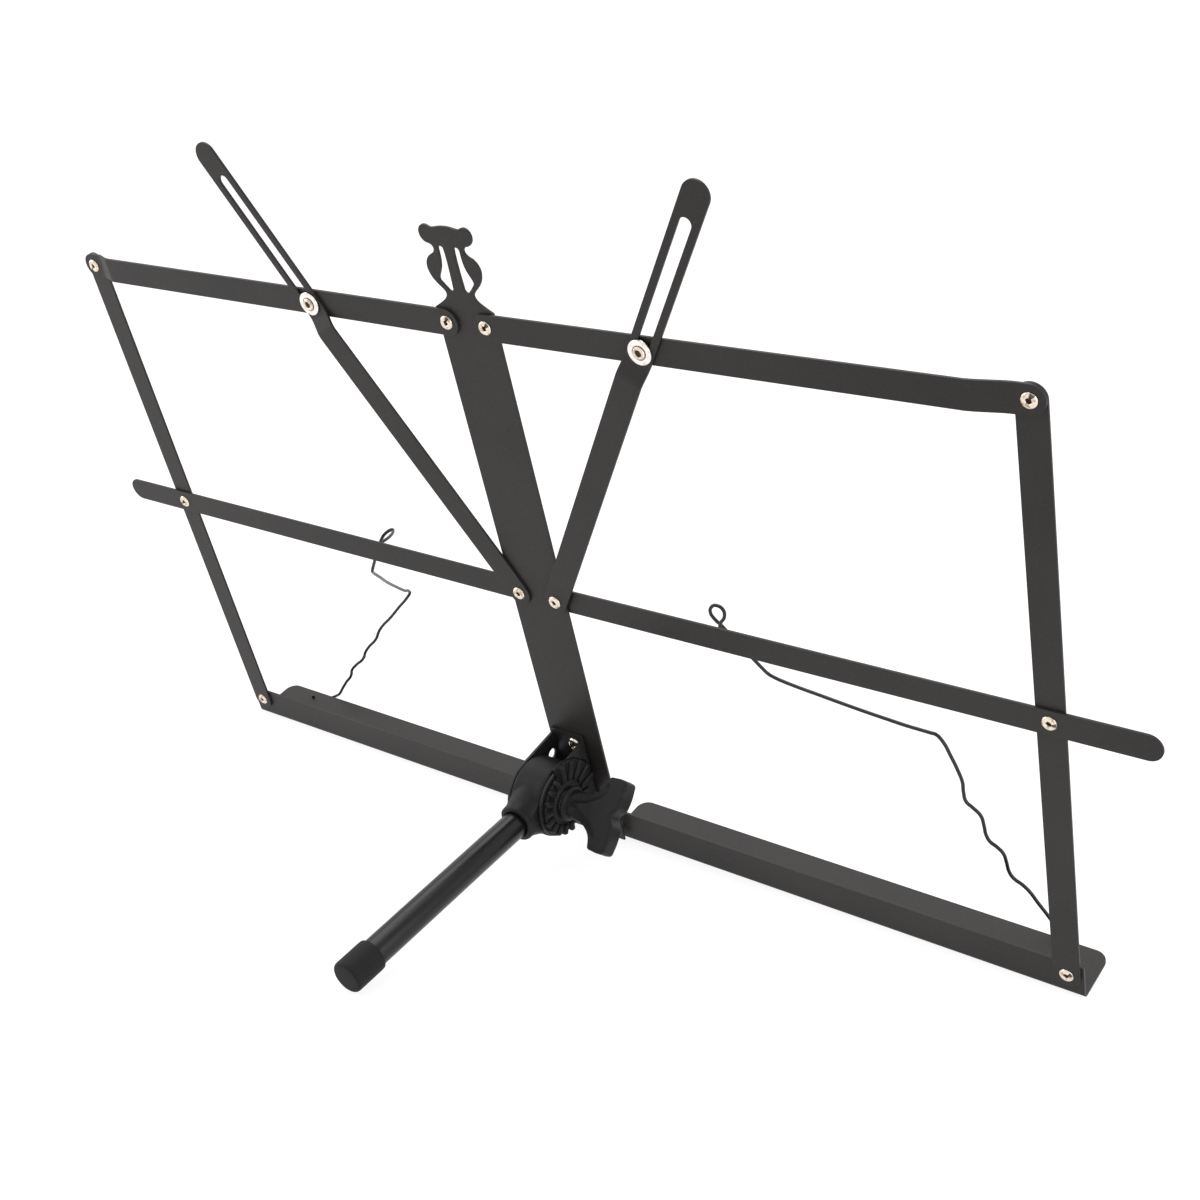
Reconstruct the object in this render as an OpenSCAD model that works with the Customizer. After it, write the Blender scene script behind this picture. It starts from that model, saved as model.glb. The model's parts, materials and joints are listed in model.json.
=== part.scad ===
// Folding desktop music stand, all sizes in millimetres, +Z up, origin bottom centre.
// Desk frame: x across, y away from the leg, z up along the spine, then leaned back.

/* [Sheet metal] */
// Thickness of the strips and plates
metal_t = 1; // [0.8:0.1:1.5]
// Width of the bars
bar_w = 10; // [8:0.5:14]
// Running gap between stacked strips
stack_gap = 0.05; // [0.02:0.01:0.1]
// Radial clearance of a pivot in its hole
pivot_clear = 0.05; // [0.02:0.01:0.08]

/* [Desk linkage] */
// Pivot to pivot length of every bar
bar_len = 195; // [150:1:240]
// Half the distance between the two rivets of a pair on the spine
centre_half = 8.7; // [8:0.1:12]
// Height of the upper pivots over the middle pivots
upper_rise = 114; // [100:1:140]
// Drop of the tray pivots under the middle pivots
tray_drop = 113.5; // [100:0.5:140]
// Slope of the open bars, outer ends up, in degrees
bar_slope = 0.34; // [0:0.02:1]
// Length of the middle bar past its outer rivet
middle_tail = 36; // [15:1:50]
// Length of the step near the outer end of the right upper bar
step_len = 12; // [8:1:20]
// Length of the same step on the left, which is bent more sharply
step_len_left = 6; // [5:1:20]
// Distance from the outer rivet to the start of that step
step_from = 5.5; // [4:0.5:10]

/* [Spine] */
// Width of the spine plate
spine_w = 26; // [22:1:34]
// Height of the shoulders over the upper pivots
shoulder_rise = 5.2; // [4.5:0.1:10]
// Length of the spine under the tray pivots
spine_tail = 6.5; // [5:0.5:9]
// Height of the lyre ornament over the shoulders
lyre_h = 30.4; // [24:0.2:40]

/* [Slotted arms] */
// Distance of the slot pin from the upper pivot
pin_reach = 65.8; // [55:0.2:75]
// Length of an arm from its pivot to its tip centre
arm_len = 194.8; // [185:0.2:215]
// Width of the slot
slot_w = 4.6; // [4:0.1:6]
// Distance from the tip centre to the end of the slot
slot_margin = 8.5; // [6:0.5:14]
// Extra lift of the arm under its step
arm_lift = 1.9; // [1.5:0.1:3]
// Distance from the pin to the step
arm_step_from = 4.9; // [4.6:0.1:8]
// Length of the step
arm_step_len = 6.5; // [4:0.5:10]

/* [Trays] */
// Height of the tray flange
flange_h = 15; // [12:0.5:20]
// Part of the flange under its pivots
flange_below = 9; // [7:0.5:12]
// Depth of the tray from front to lip
tray_depth = 22; // [16:1:30]
// Gap from the centre line to the inner end of a tray
tray_inset = 4.7; // [3:0.1:6]
// Length of the tray past its outer rivet
tray_end = 6; // [5:0.5:12]
// Rounding of the shelf corners
shelf_corner = 5; // [2:0.5:8]
// Outer bend radius of the tray
tray_bend = 2; // [1.6:0.1:3]

/* [Rivets] */
// Shank diameter of the rivets
rivet_d = 3; // [2.5:0.1:3.4]
// Head diameter of the rivets
rivet_head = 5.3; // [4.5:0.1:5.6]
// Head height of the rivets
rivet_head_t = 0.8; // [0.6:0.1:1]
// Bore of the rolled rivet heads
rivet_bore = 1.7; // [1:0.1:2]
// Outside diameter of the spacer bushes
bush_d = 6; // [5:0.5:8]
// Outside diameter of the washers on the slot pins
slide_washer_d = 9; // [8:0.5:9.6]
// Thickness of the washers on the slot pins
slide_washer_t = 0.8; // [0.5:0.1:1]
// Diameter of the post that runs in the slot
post_d = 1.2; // [0.8:0.1:1.2]
// Distance of the post from the centre of its pin
post_off = 1.5; // [1.2:0.1:1.6]
// Direction of that offset from the x axis, in degrees
post_dir = 150; // [140:1:160]

/* [Leg bracket] */
// Height of the leg bolt under the middle pivots
bolt_drop = 84.6; // [80:0.2:90]
// Distance of the leg bolt in front of the spine
bolt_front = 20; // [18:0.5:24]
// Sheet thickness of the bracket
bracket_t = 1.2; // [1:0.1:2]
// Radius of the bracket ears around the bolt
ear_r = 14.8; // [14:0.2:16]
// Height of the upper edge of the bracket over the bolt
bracket_up = 18.1; // [16:0.1:20]
// Drop of the lower edge of the bracket under the bolt
bracket_down = 13.4; // [12:0.2:19]
// Height of the upper bracket rivet over the bolt
rivet_up = 12.7; // [11:0.1:14]
// Drop of the lower bracket rivet under the bolt
rivet_down = 9; // [7:0.5:10]
// Diameter of the hole in each ear
ear_hole_d = 4.6; // [3:0.2:6]

/* [Leg] */
// Offset of the leg from the centre line
leg_offset = 3; // [0:0.5:4]
// Width of the leg socket along the bolt
socket_w = 14; // [12:0.5:16]
// Radius of the socket barrel around the bolt
socket_r = 15; // [12:0.2:16]
// Diameter of the socket sleeve
sleeve_d = 15.6; // [14:0.2:18]
// Distance from the bolt to the mouth of the sleeve
sleeve_reach = 20.5; // [18:0.5:26]
// Straight part of the sleeve at its mouth
sleeve_mouth = 3; // [1:0.5:6]
// Diameter of the leg tube
tube_d = 11; // [9:0.2:13]
// Wall of the leg tube
tube_wall = 1; // [0.8:0.1:1.5]
// Distance from the bolt to the end of the tube
tube_reach = 112; // [90:1:150]
// Depth of the tube in the sleeve
tube_seat = 11; // [8:1:14]
// Diameter of the rubber foot
foot_d = 13; // [11:0.2:15]
// Length of the tube inside the foot
foot_grip = 9; // [6:1:14]
// Thickness of the foot past the tube
foot_cap = 5; // [3:0.5:8]
// Angle of the opened leg above the desk normal
leg_angle = 4.5; // [-10:0.5:20]

/* [Clamp] */
// Radius of the ribbed clamp plate
cheek_r = 14.4; // [13:0.2:15.4]
// Thickness of the ribbed clamp plate
cheek_t = 2.2; // [1.6:0.1:3]
// Height of the ribs
rib_t = 0.8; // [0.4:0.1:1.2]
// Inner radius of the ribs
rib_from = 9.4; // [9:0.2:11]
// Radius of the ribbed fan beside the plate
fan_r = 18.4; // [16:0.2:18.6]
// Number of ribs on the full circle
rib_count = 32; // [24:1:40]
// Bolt diameter
bolt_d = 5; // [4:0.5:6]
// Hexagon size of the bolt head across flats
bolt_hex = 8; // [7:0.5:10]
// Thickness of the bolt head
bolt_head_t = 3.5; // [3:0.5:5]
// Diameter of the clamp washer
clamp_washer_d = 12; // [10:0.5:14]
// Thickness of the clamp washer
clamp_washer_t = 1; // [0.8:0.1:1.5]

/* [Wing knob] */
// Diameter of the knob collar
collar_d = 16.4; // [15:0.2:18]
// Length of the knob collar
collar_t = 1.6; // [1:0.1:2.5]
// Diameter of the knob hub
hub_d = 13; // [11:0.2:14]
// Length of the hub behind the wings
hub_len = 8; // [6:0.5:10]
// Half span of the wings
wing_r = 14.8; // [13:0.2:17]
// Thickness of the wings
wing_t = 8; // [4:0.2:9]
// Total length of the knob
knob_len = 24.5; // [20:0.5:26]
// Turn of the wings about the bolt, in degrees
wing_turn = 129; // [0:1:180]

/* [Page wires] */
// Wire diameter
wire_d = 1.4; // [1.2:0.1:2.2]
// Distance of the wire's pivot from the outer tray rivet
wire_in = 13; // [11:0.5:26]
// Distance of the wire's pivot hole from the tray lip
wire_lip = 4.4; // [3.5:0.1:6]
// Length of the wire's pivot above the shelf
wire_pin_up = 1.5; // [1:0.5:6]

/* [Hidden] */
ring_n = 28;
unit_x = [1, 0, 0];
// layers of the riveted stack, given by the face toward the pages
upper_back = -stack_gap;
arm_root_back = -stack_gap;
slot_back = upper_back - metal_t - stack_gap;
arm_back = slot_back - arm_lift;
middle_back = 2 * metal_t + stack_gap;
side_back = middle_back + stack_gap + metal_t;
tray_back = side_back + stack_gap + metal_t;
tray_front = tray_back - metal_t;
hole_d = rivet_d + 2 * pivot_clear;
// pivots, as [x, z] in the desk frame
slope_x = bar_len * cos(bar_slope);
slope_z = bar_len * sin(bar_slope);
upper_in = [centre_half, upper_rise];
middle_in = [centre_half, 0];
tray_in = [centre_half, -tray_drop];
upper_out = upper_in + [slope_x, slope_z];
middle_out = middle_in + [slope_x, slope_z];
tray_out = tray_in + [slope_x, slope_z];
pin_at = upper_in + pin_reach * [cos(bar_slope), sin(bar_slope)];
arm_angle = atan2(pin_at[1] - middle_in[1], pin_at[0] - middle_in[0]);
pin_along = norm(pin_at - middle_in);
post_at = pin_at + post_off * [cos(post_dir), sin(post_dir)];
shoulder_z = upper_rise + shoulder_rise;
tray_low = -tray_drop - flange_below;
tray_x1 = tray_out[0] + tray_end;
lip_y = tray_front + tray_depth;
// leg: socket side faces, ears and clamp plate along x
socket_x0 = -leg_offset - socket_w / 2;
socket_x1 = socket_x0 + socket_w;
ear_gap = 0.1;
left_ear_x = socket_x0 - ear_gap - bracket_t;
right_ear_x = socket_x1 + ear_gap;
cheek_x = right_ear_x + bracket_t;
rib_x = cheek_x + cheek_t;
washer_x = rib_x;
knob_x = washer_x + clamp_washer_t + 0.1;
bolt_hole_d = bolt_d + 2 * pivot_clear;
// lean of the desk, from the foot's lower rim and the tray's lower edge
foot_r = 1.5;
foot_from = tube_reach - foot_grip;
foot_len = tube_reach + foot_cap;
foot_y = -bolt_front - (foot_len - foot_r) * cos(leg_angle) - (foot_d / 2 - foot_r) * sin(leg_angle);
foot_z = -bolt_drop + (foot_len - foot_r) * sin(leg_angle) - (foot_d / 2 - foot_r) * cos(leg_angle);
edge_y = tray_front + tray_bend;
edge_z = tray_low + tray_bend;
run_y = edge_y - foot_y;
run_z = foot_z - edge_z;
lean = atan2(run_z, run_y) + asin((tray_bend - foot_r) / norm([run_y, run_z]));
base_z = -(edge_z * cos(lean) + edge_y * sin(lean) - tray_bend);
// page wires: pivot in the shelf, then points as [inward, back, up] from that pivot
wire_x = tray_out[0] - wire_in;
wire_y = lip_y - wire_lip;
wire_hole_d = wire_d + 2 * pivot_clear;
wire_under = -metal_t - wire_d / 2 - 0.4;
wire_right_route = [
    [0, 0, wire_under], [0.3, 2.6, wire_under - 0.2], [0.9, 4.8, wire_under],
    [1.1, 5.8, wire_under + 1.2], [1.6, 6.3, 1.6], [4.6, 6.7, 6], [9, 6.9, 11.9], [11.8, 6.9, 16],
    [14.2, 6.9, 18.2], [17.7, 7, 20.1], [19.3, 7, 22.7], [20.1, 7.1, 26.9], [21.1, 7.1, 31],
    [23.6, 7.2, 33.3], [26, 7.2, 34.8], [27.4, 7.3, 37.5], [27.9, 7.3, 41.8], [28.9, 7.4, 46.2],
    [31.7, 7.4, 48.9], [34.2, 7.5, 50.8], [34.9, 7.5, 54.9], [35, 7.6, 59.8], [36.2, 7.6, 64.3],
    [38.7, 7.7, 70.8], [41.3, 7.7, 76.6], [43.7, 7.8, 78.8], [45.6, 7.6, 79.1], [55.4, 7.5, 79.5],
    [61.8, 7.4, 80.1], [73.3, 7.2, 81.3], [89.4, 7.1, 83.2], [102.6, 7, 84.9], [109.1, 6.9, 86.3],
    [111.2, 6.8, 87.3], [112.8, 6.2, 89.7], [114.9, 5.8, 92.5], [124.8, 5.2, 103.7],
    [127.1, 5.1, 106.4], [129.6, 4.9, 108.9], [130.8, 4.6, 111.6], [129.9, 4.4, 114.6],
    [127.1, 4.2, 116.3], [124.1, 3.8, 115.4], [123.8, 3.4, 112.5], [125.8, 2.9, 109.3],
    [126.3, 2.4, 106.5]];
wire_left_route = [
    [0, 0, wire_under], [2.6, 2.6, wire_under - 0.2], [6.6, 5.6, wire_under],
    [9.2, 7.1, wire_under + 1], [10.8, 7.4, 0], [14.1, 8.4, 4.3], [17.2, 9.2, 8.1],
    [21.1, 10.4, 12.8], [20.7, 11.6, 14.1], [23.1, 12.8, 16.9], [30.2, 14, 23.3], [30.1, 15.2, 24.5],
    [31.9, 16.4, 27.2], [39.1, 17.6, 34.3], [40.4, 18.8, 37.2], [41.7, 20, 39.3], [49.2, 21.2, 46.3],
    [56.2, 22.4, 53.4], [62.8, 23.6, 60], [63.6, 24.8, 61.5], [63.8, 24.5, 62.6], [66.2, 20.2, 66.5],
    [70.4, 12.8, 74.5], [76.1, 4.2, 84], [82.4, -3.8, 93.5], [87.6, -10.8, 102], [89.5, -12.3, 104.2],
    [91.4, -12.2, 107.5], [99, -12.1, 119.3], [100.6, -11.9, 121.7], [103.3, -11.4, 124.9],
    [105.5, -10.6, 126.5], [105.8, -9.2, 126.3], [104.3, -7.6, 124], [101.2, -6.6, 121],
    [96.9, -6.3, 117.7], [94.4, -6.9, 116.2]];
// middle of the box between the foot's upper rim and the farthest point of a wire
rim_y = -bolt_front - (foot_len - foot_r) * cos(leg_angle) + (foot_d / 2 - foot_r) * sin(leg_angle);
rim_z = -bolt_drop + (foot_len - foot_r) * sin(leg_angle) + (foot_d / 2 - foot_r) * cos(leg_angle);
front_end = rim_y * cos(lean) - rim_z * sin(lean) - foot_r;
wire_ends = [for (q = concat(wire_right_route, wire_left_route))
    (wire_y + q[1]) * cos(lean) - (tray_low + metal_t + q[2]) * sin(lean)];
base_y = -(front_end + max(wire_ends) + wire_d / 2) / 2;

module desk() {
    translate([0, base_y, base_z])
        rotate([lean, 0, 0])
            children();
}

// strip of sheet: the 2-D outline is [x, z], the back is its page side face
module sheet(back, thick = metal_t) {
    translate([0, back, 0])
        rotate([90, 0, 0])
            linear_extrude(thick)
                children();
}

module along_y(from, to, d) {
    translate([0, from, 0])
        rotate([-90, 0, 0])
            cylinder(h = to - from, d = d, $fn = ring_n);
}

module along_x(from, to, d, n = ring_n) {
    translate([from, 0, 0])
        rotate([0, 90, 0])
            cylinder(h = to - from, d = d, $fn = n);
}

module at(p) {
    translate([p[0], 0, p[1]])
        children();
}

module strap_2d(p, q, w) {
    step = q - p;
    translate(p)
        rotate(atan2(step[1], step[0])) {
            circle(d = w, $fn = 48);
            translate([norm(step), 0])
                circle(d = w, $fn = 48);
            translate([0, -w / 2])
                square([norm(step), w]);
        }
}

module holes_2d(list, d = hole_d) {
    for (p = list)
        translate(p)
            circle(d = d, $fn = ring_n);
}

module side(right) {
    mirror([right ? 0 : 1, 0, 0])
        children();
}

// lyre outline and opening on one side, heights over the shoulders
lyre_edge = [[0, -1], [13, 0], [9.7, 1.9], [7.4, 3.5], [6.4, 4.7], [6.2, 5.8], [6.9, 7], [9, 9], [10.8, 11.2],
    [11.7, 13.4], [11.9, 15.4], [11.3, 17.4], [9.8, 19.2], [7.9, 20.3], [7, 21.1], [6.7, 22], [7, 22.9], [7.8, 23.6],
    [9.8, 24.2], [11, 25.3], [11.6, 26.7], [11.5, 28.4], [10.8, 29.6], [9.6, 30.4], [8.3, 30.5], [7.1, 30.1],
    [6, 29.7], [4.4, 29.9], [2, 30.3], [0, 30.4]];
lyre_open = [[2.35, 22.4], [2.8, 23], [4, 23.1], [4.6, 22.6], [4.8, 20.4], [5, 17.8], [5.6, 15.2], [6.6, 13.2],
    [7.5, 11.4], [7.6, 10.5], [6.8, 9.4], [5, 7.5], [4.2, 6.8], [3.4, 6.6], [2.6, 7.2], [2.4, 8.4]];

module spine_2d() {
    half = spine_w / 2;
    sx = half / 13;
    sz = lyre_h / 30.4;
    difference() {
        union() {
            translate([-half, -tray_drop - spine_tail])
                square([spine_w, shoulder_z + tray_drop + spine_tail]);
            translate([0, shoulder_z])
                polygon(concat([for (q = lyre_edge) [q[0] * sx, q[1] * sz]],
                    [for (i = [len(lyre_edge) - 2 : -1 : 1]) [-lyre_edge[i][0] * sx, lyre_edge[i][1] * sz]]));
        }
        for (s = [-1, 1]) {
            translate([0, shoulder_z])
                polygon([for (q = lyre_open) [s * q[0] * sx, q[1] * sz]]);
            holes_2d([[s * centre_half, upper_rise], [s * centre_half, 0], [s * centre_half, -tray_drop]], rivet_d);
        }
        holes_2d([[0, rivet_up - bolt_drop], [0, -rivet_down - bolt_drop]], rivet_d);
    }
}

module spine() {
    color("#4b4845")
        desk()
            sheet(metal_t)
                spine_2d();
}

module upper_bar(right) {
    step_a = upper_out[0] - step_from;
    step_b = step_a - (right ? step_len : step_len_left);
    tab = middle_back;
    run = [slope_x, slope_z] / bar_len;
    color("#4b4845")
        desk()
            side(right)
                intersection() {
                    sheet(tab + 1, 8)
                        difference() {
                            strap_2d(upper_in, upper_out, bar_w);
                            holes_2d([upper_in, upper_out]);
                            holes_2d([upper_in + pin_reach * run], rivet_d);
                        }
                    translate([0, 0, upper_rise - bar_w])
                        linear_extrude(2 * bar_w + slope_z)
                            polygon([[-bar_w, upper_back], [step_b, upper_back], [step_a, tab],
                                [upper_out[0] + bar_w, tab], [upper_out[0] + bar_w, tab - metal_t],
                                [step_a, tab - metal_t], [step_b, upper_back - metal_t],
                                [-bar_w, upper_back - metal_t]]);
                }
}

module middle_bar(right) {
    tip = middle_out + (middle_tail - bar_w / 2) * [cos(bar_slope), sin(bar_slope)];
    color("#4b4845")
        desk()
            side(right)
                sheet(middle_back)
                    difference() {
                        strap_2d(middle_in, tip, bar_w);
                        holes_2d([middle_in, middle_out]);
                    }
}

module side_bar(right) {
    color("#4b4845")
        desk()
            side(right)
                sheet(side_back)
                    difference() {
                        strap_2d(tray_out, upper_out, bar_w);
                        holes_2d([tray_out, middle_out, upper_out], rivet_d);
                    }
}

// the arm lies along +x here, its thickness along y
module arm_strip() {
    foot = bar_w / 2 + 1;
    up = pin_along - arm_step_from;
    low = up - arm_step_len;
    slot_a = pin_along;
    slot_b = arm_len - slot_margin - slot_w / 2;
    intersection() {
        sheet(0, 8)
            difference() {
                strap_2d([0, 0], [arm_len, 0], bar_w);
                holes_2d([[0, 0]]);
                strap_2d([slot_a, 0], [slot_b, 0], slot_w);
            }
        translate([0, 0, -bar_w])
            linear_extrude(2 * bar_w)
                polygon([[-bar_w, arm_root_back], [foot, arm_root_back], [low, arm_back], [up, slot_back],
                    [arm_len + bar_w, slot_back], [arm_len + bar_w, slot_back - metal_t],
                    [up, slot_back - metal_t], [low, arm_back - metal_t], [foot, arm_root_back - metal_t],
                    [-bar_w, arm_root_back - metal_t]]);
    }
}

module slotted_arm(right) {
    color("#4b4845")
        desk()
            side(right)
                at(middle_in)
                    rotate([0, -arm_angle, 0])
                        arm_strip();
}

module tray_profile() {
    intersection() {
        difference() {
            translate([tray_bend, tray_bend])
                circle(r = tray_bend, $fn = 32);
            translate([tray_bend, tray_bend])
                circle(r = tray_bend - metal_t, $fn = 32);
        }
        square(tray_bend);
    }
    translate([0, tray_bend])
        square([metal_t, flange_h - tray_bend]);
    translate([tray_bend, 0])
        square([tray_depth - tray_bend, metal_t]);
}

// cutter that rounds the outer quadrant of a corner, edges toward +x and +y
module corner_2d(r) {
    difference() {
        square(r + 1);
        circle(r = r, $fn = 32);
    }
}

module tray(right) {
    length = tray_x1 - tray_inset;
    color("#4b4845")
        desk()
            side(right)
                difference() {
                    translate([tray_inset, tray_front, tray_low])
                        rotate([90, 0, 90])
                            linear_extrude(length)
                                tray_profile();
                    at(tray_in)
                        along_y(tray_front - 1, tray_back + 1, hole_d);
                    at(tray_out)
                        along_y(tray_front - 1, tray_back + 1, hole_d);
                    translate([tray_x1 - shelf_corner, lip_y - shelf_corner, tray_low - 1])
                        linear_extrude(metal_t + 2)
                            corner_2d(shelf_corner);
                    translate([tray_inset + shelf_corner, lip_y - shelf_corner, tray_low - 1])
                        mirror([1, 0, 0])
                            linear_extrude(metal_t + 2)
                                corner_2d(shelf_corner);
                    translate([wire_x, wire_y, tray_low - 1])
                        cylinder(h = metal_t + 2, d = wire_hole_d, $fn = ring_n);
                }
}

// rolled tubular rivet, heads outside the two given faces
module rivet(front, back, head = rivet_head) {
    rim = 0.25;
    difference() {
        union() {
            along_y(front, back, rivet_d);
            along_y(front - rivet_head_t + rim, front, head);
            translate([0, front - rivet_head_t, 0])
                rotate([-90, 0, 0])
                    cylinder(h = rim, d1 = head - 1, d2 = head, $fn = ring_n);
            along_y(back, back + rivet_head_t - rim, head);
            translate([0, back + rivet_head_t - rim, 0])
                rotate([-90, 0, 0])
                    cylinder(h = rim, d1 = head, d2 = head - 1, $fn = ring_n);
        }
        along_y(front - rivet_head_t - 1, front + metal_t / 2, rivet_bore);
    }
}

module placed_rivet(right, p, front, back) {
    color("#cdc6ba")
        desk()
            side(right)
                at(p)
                    rivet(front, back);
}

module top_rivet(right) {
    placed_rivet(right, upper_in, upper_back - metal_t - stack_gap, metal_t);
}

module middle_rivet(right) {
    placed_rivet(right, middle_in, arm_root_back - metal_t - stack_gap, middle_back + stack_gap);
}

module tray_rivet(right) {
    placed_rivet(right, tray_in, 0, tray_back + stack_gap);
}

module corner_rivet(right) {
    placed_rivet(right, upper_out, middle_back - metal_t - stack_gap, side_back);
}

module side_rivet(right) {
    placed_rivet(right, middle_out, middle_back - metal_t - stack_gap, side_back);
}

module tray_end_rivet(right) {
    placed_rivet(right, tray_out, side_back - metal_t, tray_back + stack_gap);
}

module tray_bush(right) {
    color("#b9b4aa")
        desk()
            side(right)
                at(tray_in)
                    difference() {
                        along_y(metal_t, tray_front - stack_gap, bush_d);
                        along_y(0, tray_front + 1, rivet_d);
                    }
}

module slide_washer(right) {
    front = slot_back - metal_t - stack_gap - slide_washer_t;
    color("#d6d2ca")
        desk()
            side(right)
                at(pin_at)
                    difference() {
                        along_y(front, front + slide_washer_t, slide_washer_d);
                        along_y(front - 1, front + slide_washer_t + 1, rivet_d);
                    }
}

// pin through the upper bar; a thin post off its centre carries the head across the slot
module slide_pin(right) {
    seat = slot_back - metal_t - stack_gap;
    front = seat - slide_washer_t;
    color("#cdc6ba")
        desk()
            side(right) {
                at(pin_at)
                    difference() {
                        union() {
                            along_y(front, seat, rivet_d);
                            along_y(front - rivet_head_t, front, rivet_head);
                            along_y(upper_back - metal_t, upper_back, rivet_d);
                            along_y(upper_back, upper_back + rivet_head_t, rivet_head);
                        }
                        along_y(front - rivet_head_t - 1, front, rivet_bore);
                    }
                at(post_at)
                    along_y(seat, upper_back - metal_t, post_d);
                intersection() {
                    at(pin_at)
                        along_y(seat - 0.3, upper_back - metal_t + 0.3, rivet_d - 0.02);
                    at(post_at)
                        along_y(seat - 0.3, upper_back - metal_t + 0.3, post_d);
                }
            }
}

// outline of a bracket ear as [y, z] around the bolt
module ear_2d(r) {
    reach = bolt_front;
    hi = bracket_up - 2;
    lo = bracket_down - 3;
    difference() {
        union() {
            circle(r = r, $fn = 64);
            polygon([[0, min(r, hi)], [reach, hi], [reach, -lo], [0, -min(r, lo)]]);
        }
        circle(d = bolt_hole_d, $fn = ring_n);
        translate([reach - 4.6, 7])
            circle(d = ear_hole_d, $fn = ring_n);
    }
}

module ear(x, r) {
    translate([x, -bolt_front, -bolt_drop])
        rotate([90, 0, 90])
            linear_extrude(bracket_t)
                ear_2d(r);
}

module hinge_bracket() {
    color("#3d3b39")
        desk()
            difference() {
                union() {
                    translate([left_ear_x, -bracket_t, -bolt_drop - bracket_down])
                        cube([right_ear_x + bracket_t - left_ear_x, bracket_t, bracket_up + bracket_down]);
                    ear(left_ear_x, ear_r);
                    ear(right_ear_x, cheek_r);
                }
                for (z = [rivet_up, -rivet_down])
                    at([0, z - bolt_drop])
                        along_y(-bracket_t - 1, 1, rivet_d);
            }
}

module bracket_rivet(z) {
    color("#d6cfc2")
        desk()
            at([0, z - bolt_drop])
                rivet(-bracket_t, metal_t, rivet_head + 0.6);
}

// ribbed clamp plate on the right ear, with the wider fan toward the spine
module clamp_cheek() {
    color("#2f2e2c")
        desk()
            translate([cheek_x, -bolt_front, -bolt_drop])
                rotate([90, 0, 90])
                    difference() {
                        union() {
                            cylinder(h = cheek_t, r = cheek_r, $fn = 64);
                            intersection() {
                                cylinder(h = cheek_t, r = fan_r, $fn = 64);
                                linear_extrude(cheek_t)
                                    polygon([[0, 0], [-3, fan_r + 2], [fan_r + 2, fan_r + 2], [fan_r + 2, -3]]);
                            }
                            for (i = [0 : rib_count - 1]) {
                                a = i * 360 / rib_count;
                                reach = (a > 8 && a < 92) ? fan_r - 0.4 : cheek_r - 0.3;
                                rotate(a)
                                    translate([rib_from, -0.55, 0])
                                        cube([reach - rib_from, 1.1, cheek_t + rib_t]);
                            }
                        }
                        translate([0, 0, -1])
                            cylinder(h = cheek_t + 2, d = bolt_hole_d, $fn = ring_n);
                    }
}

module at_bolt() {
    desk()
        translate([0, -bolt_front, -bolt_drop])
            children();
}

// leg frame: the leg runs along local +z from the bolt
module at_leg() {
    at_bolt()
        translate([-leg_offset, 0, 0])
            rotate([90 - leg_angle, 0, 0])
                children();
}

module leg_socket() {
    cut = 2 * (sleeve_reach + socket_r);
    neck = socket_r * sin(25);
    neck_d = 2 * socket_r * cos(25);
    color("#2f2e2c")
        at_leg()
            difference() {
                union() {
                    along_x(-socket_w / 2, socket_w / 2, 2 * socket_r, 64);
                    cylinder(h = sleeve_reach, d = sleeve_d, $fn = 48);
                    translate([0, 0, neck])
                        cylinder(h = sleeve_reach - sleeve_mouth - neck, d1 = neck_d, d2 = sleeve_d, $fn = 48);
                }
                for (s = [-1, 1])
                    translate([s * (socket_w + sleeve_d) / 2, 0, 0])
                        cube([sleeve_d, cut, cut], center = true);
                along_x(-socket_w, socket_w, bolt_hole_d);
                translate([0, 0, sleeve_reach - tube_seat])
                    cylinder(h = tube_seat + 1, d = tube_d, $fn = 48);
            }
}

module leg_tube() {
    color("#26282b")
        at_leg()
            translate([0, 0, sleeve_reach - tube_seat])
                difference() {
                    cylinder(h = tube_reach - sleeve_reach + tube_seat, d = tube_d, $fn = 48);
                    translate([0, 0, -1])
                        cylinder(h = tube_reach, d = tube_d - 2 * tube_wall, $fn = 48);
                }
}

module rubber_foot() {
    color("#232323")
        at_leg()
            difference() {
                union() {
                    translate([0, 0, foot_from])
                        cylinder(h = foot_len - foot_r - foot_from, d = foot_d, $fn = 48);
                    translate([0, 0, foot_len - foot_r])
                        cylinder(h = foot_r, d = foot_d - 2 * foot_r, $fn = 48);
                    translate([0, 0, foot_len - foot_r])
                        rotate_extrude($fn = 48)
                            translate([foot_d / 2 - foot_r, 0])
                                intersection() {
                                    circle(r = foot_r, $fn = 32);
                                    square(foot_r);
                                }
                }
                translate([0, 0, foot_from - 1])
                    cylinder(h = tube_reach - foot_from + 1, d = tube_d, $fn = 48);
            }
}

module clamp_bolt() {
    tail = knob_x + hub_len + 2;
    color("#b9b4aa")
        at_bolt() {
            along_x(left_ear_x - bolt_head_t, left_ear_x, bolt_hex / cos(30), 6);
            along_x(left_ear_x, tail, bolt_d);
        }
}

module clamp_washer() {
    color("#b9b4aa")
        at_bolt()
            difference() {
                along_x(washer_x, washer_x + clamp_washer_t, clamp_washer_d);
                along_x(washer_x - 1, washer_x + clamp_washer_t + 1, bolt_hole_d);
            }
}

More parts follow.
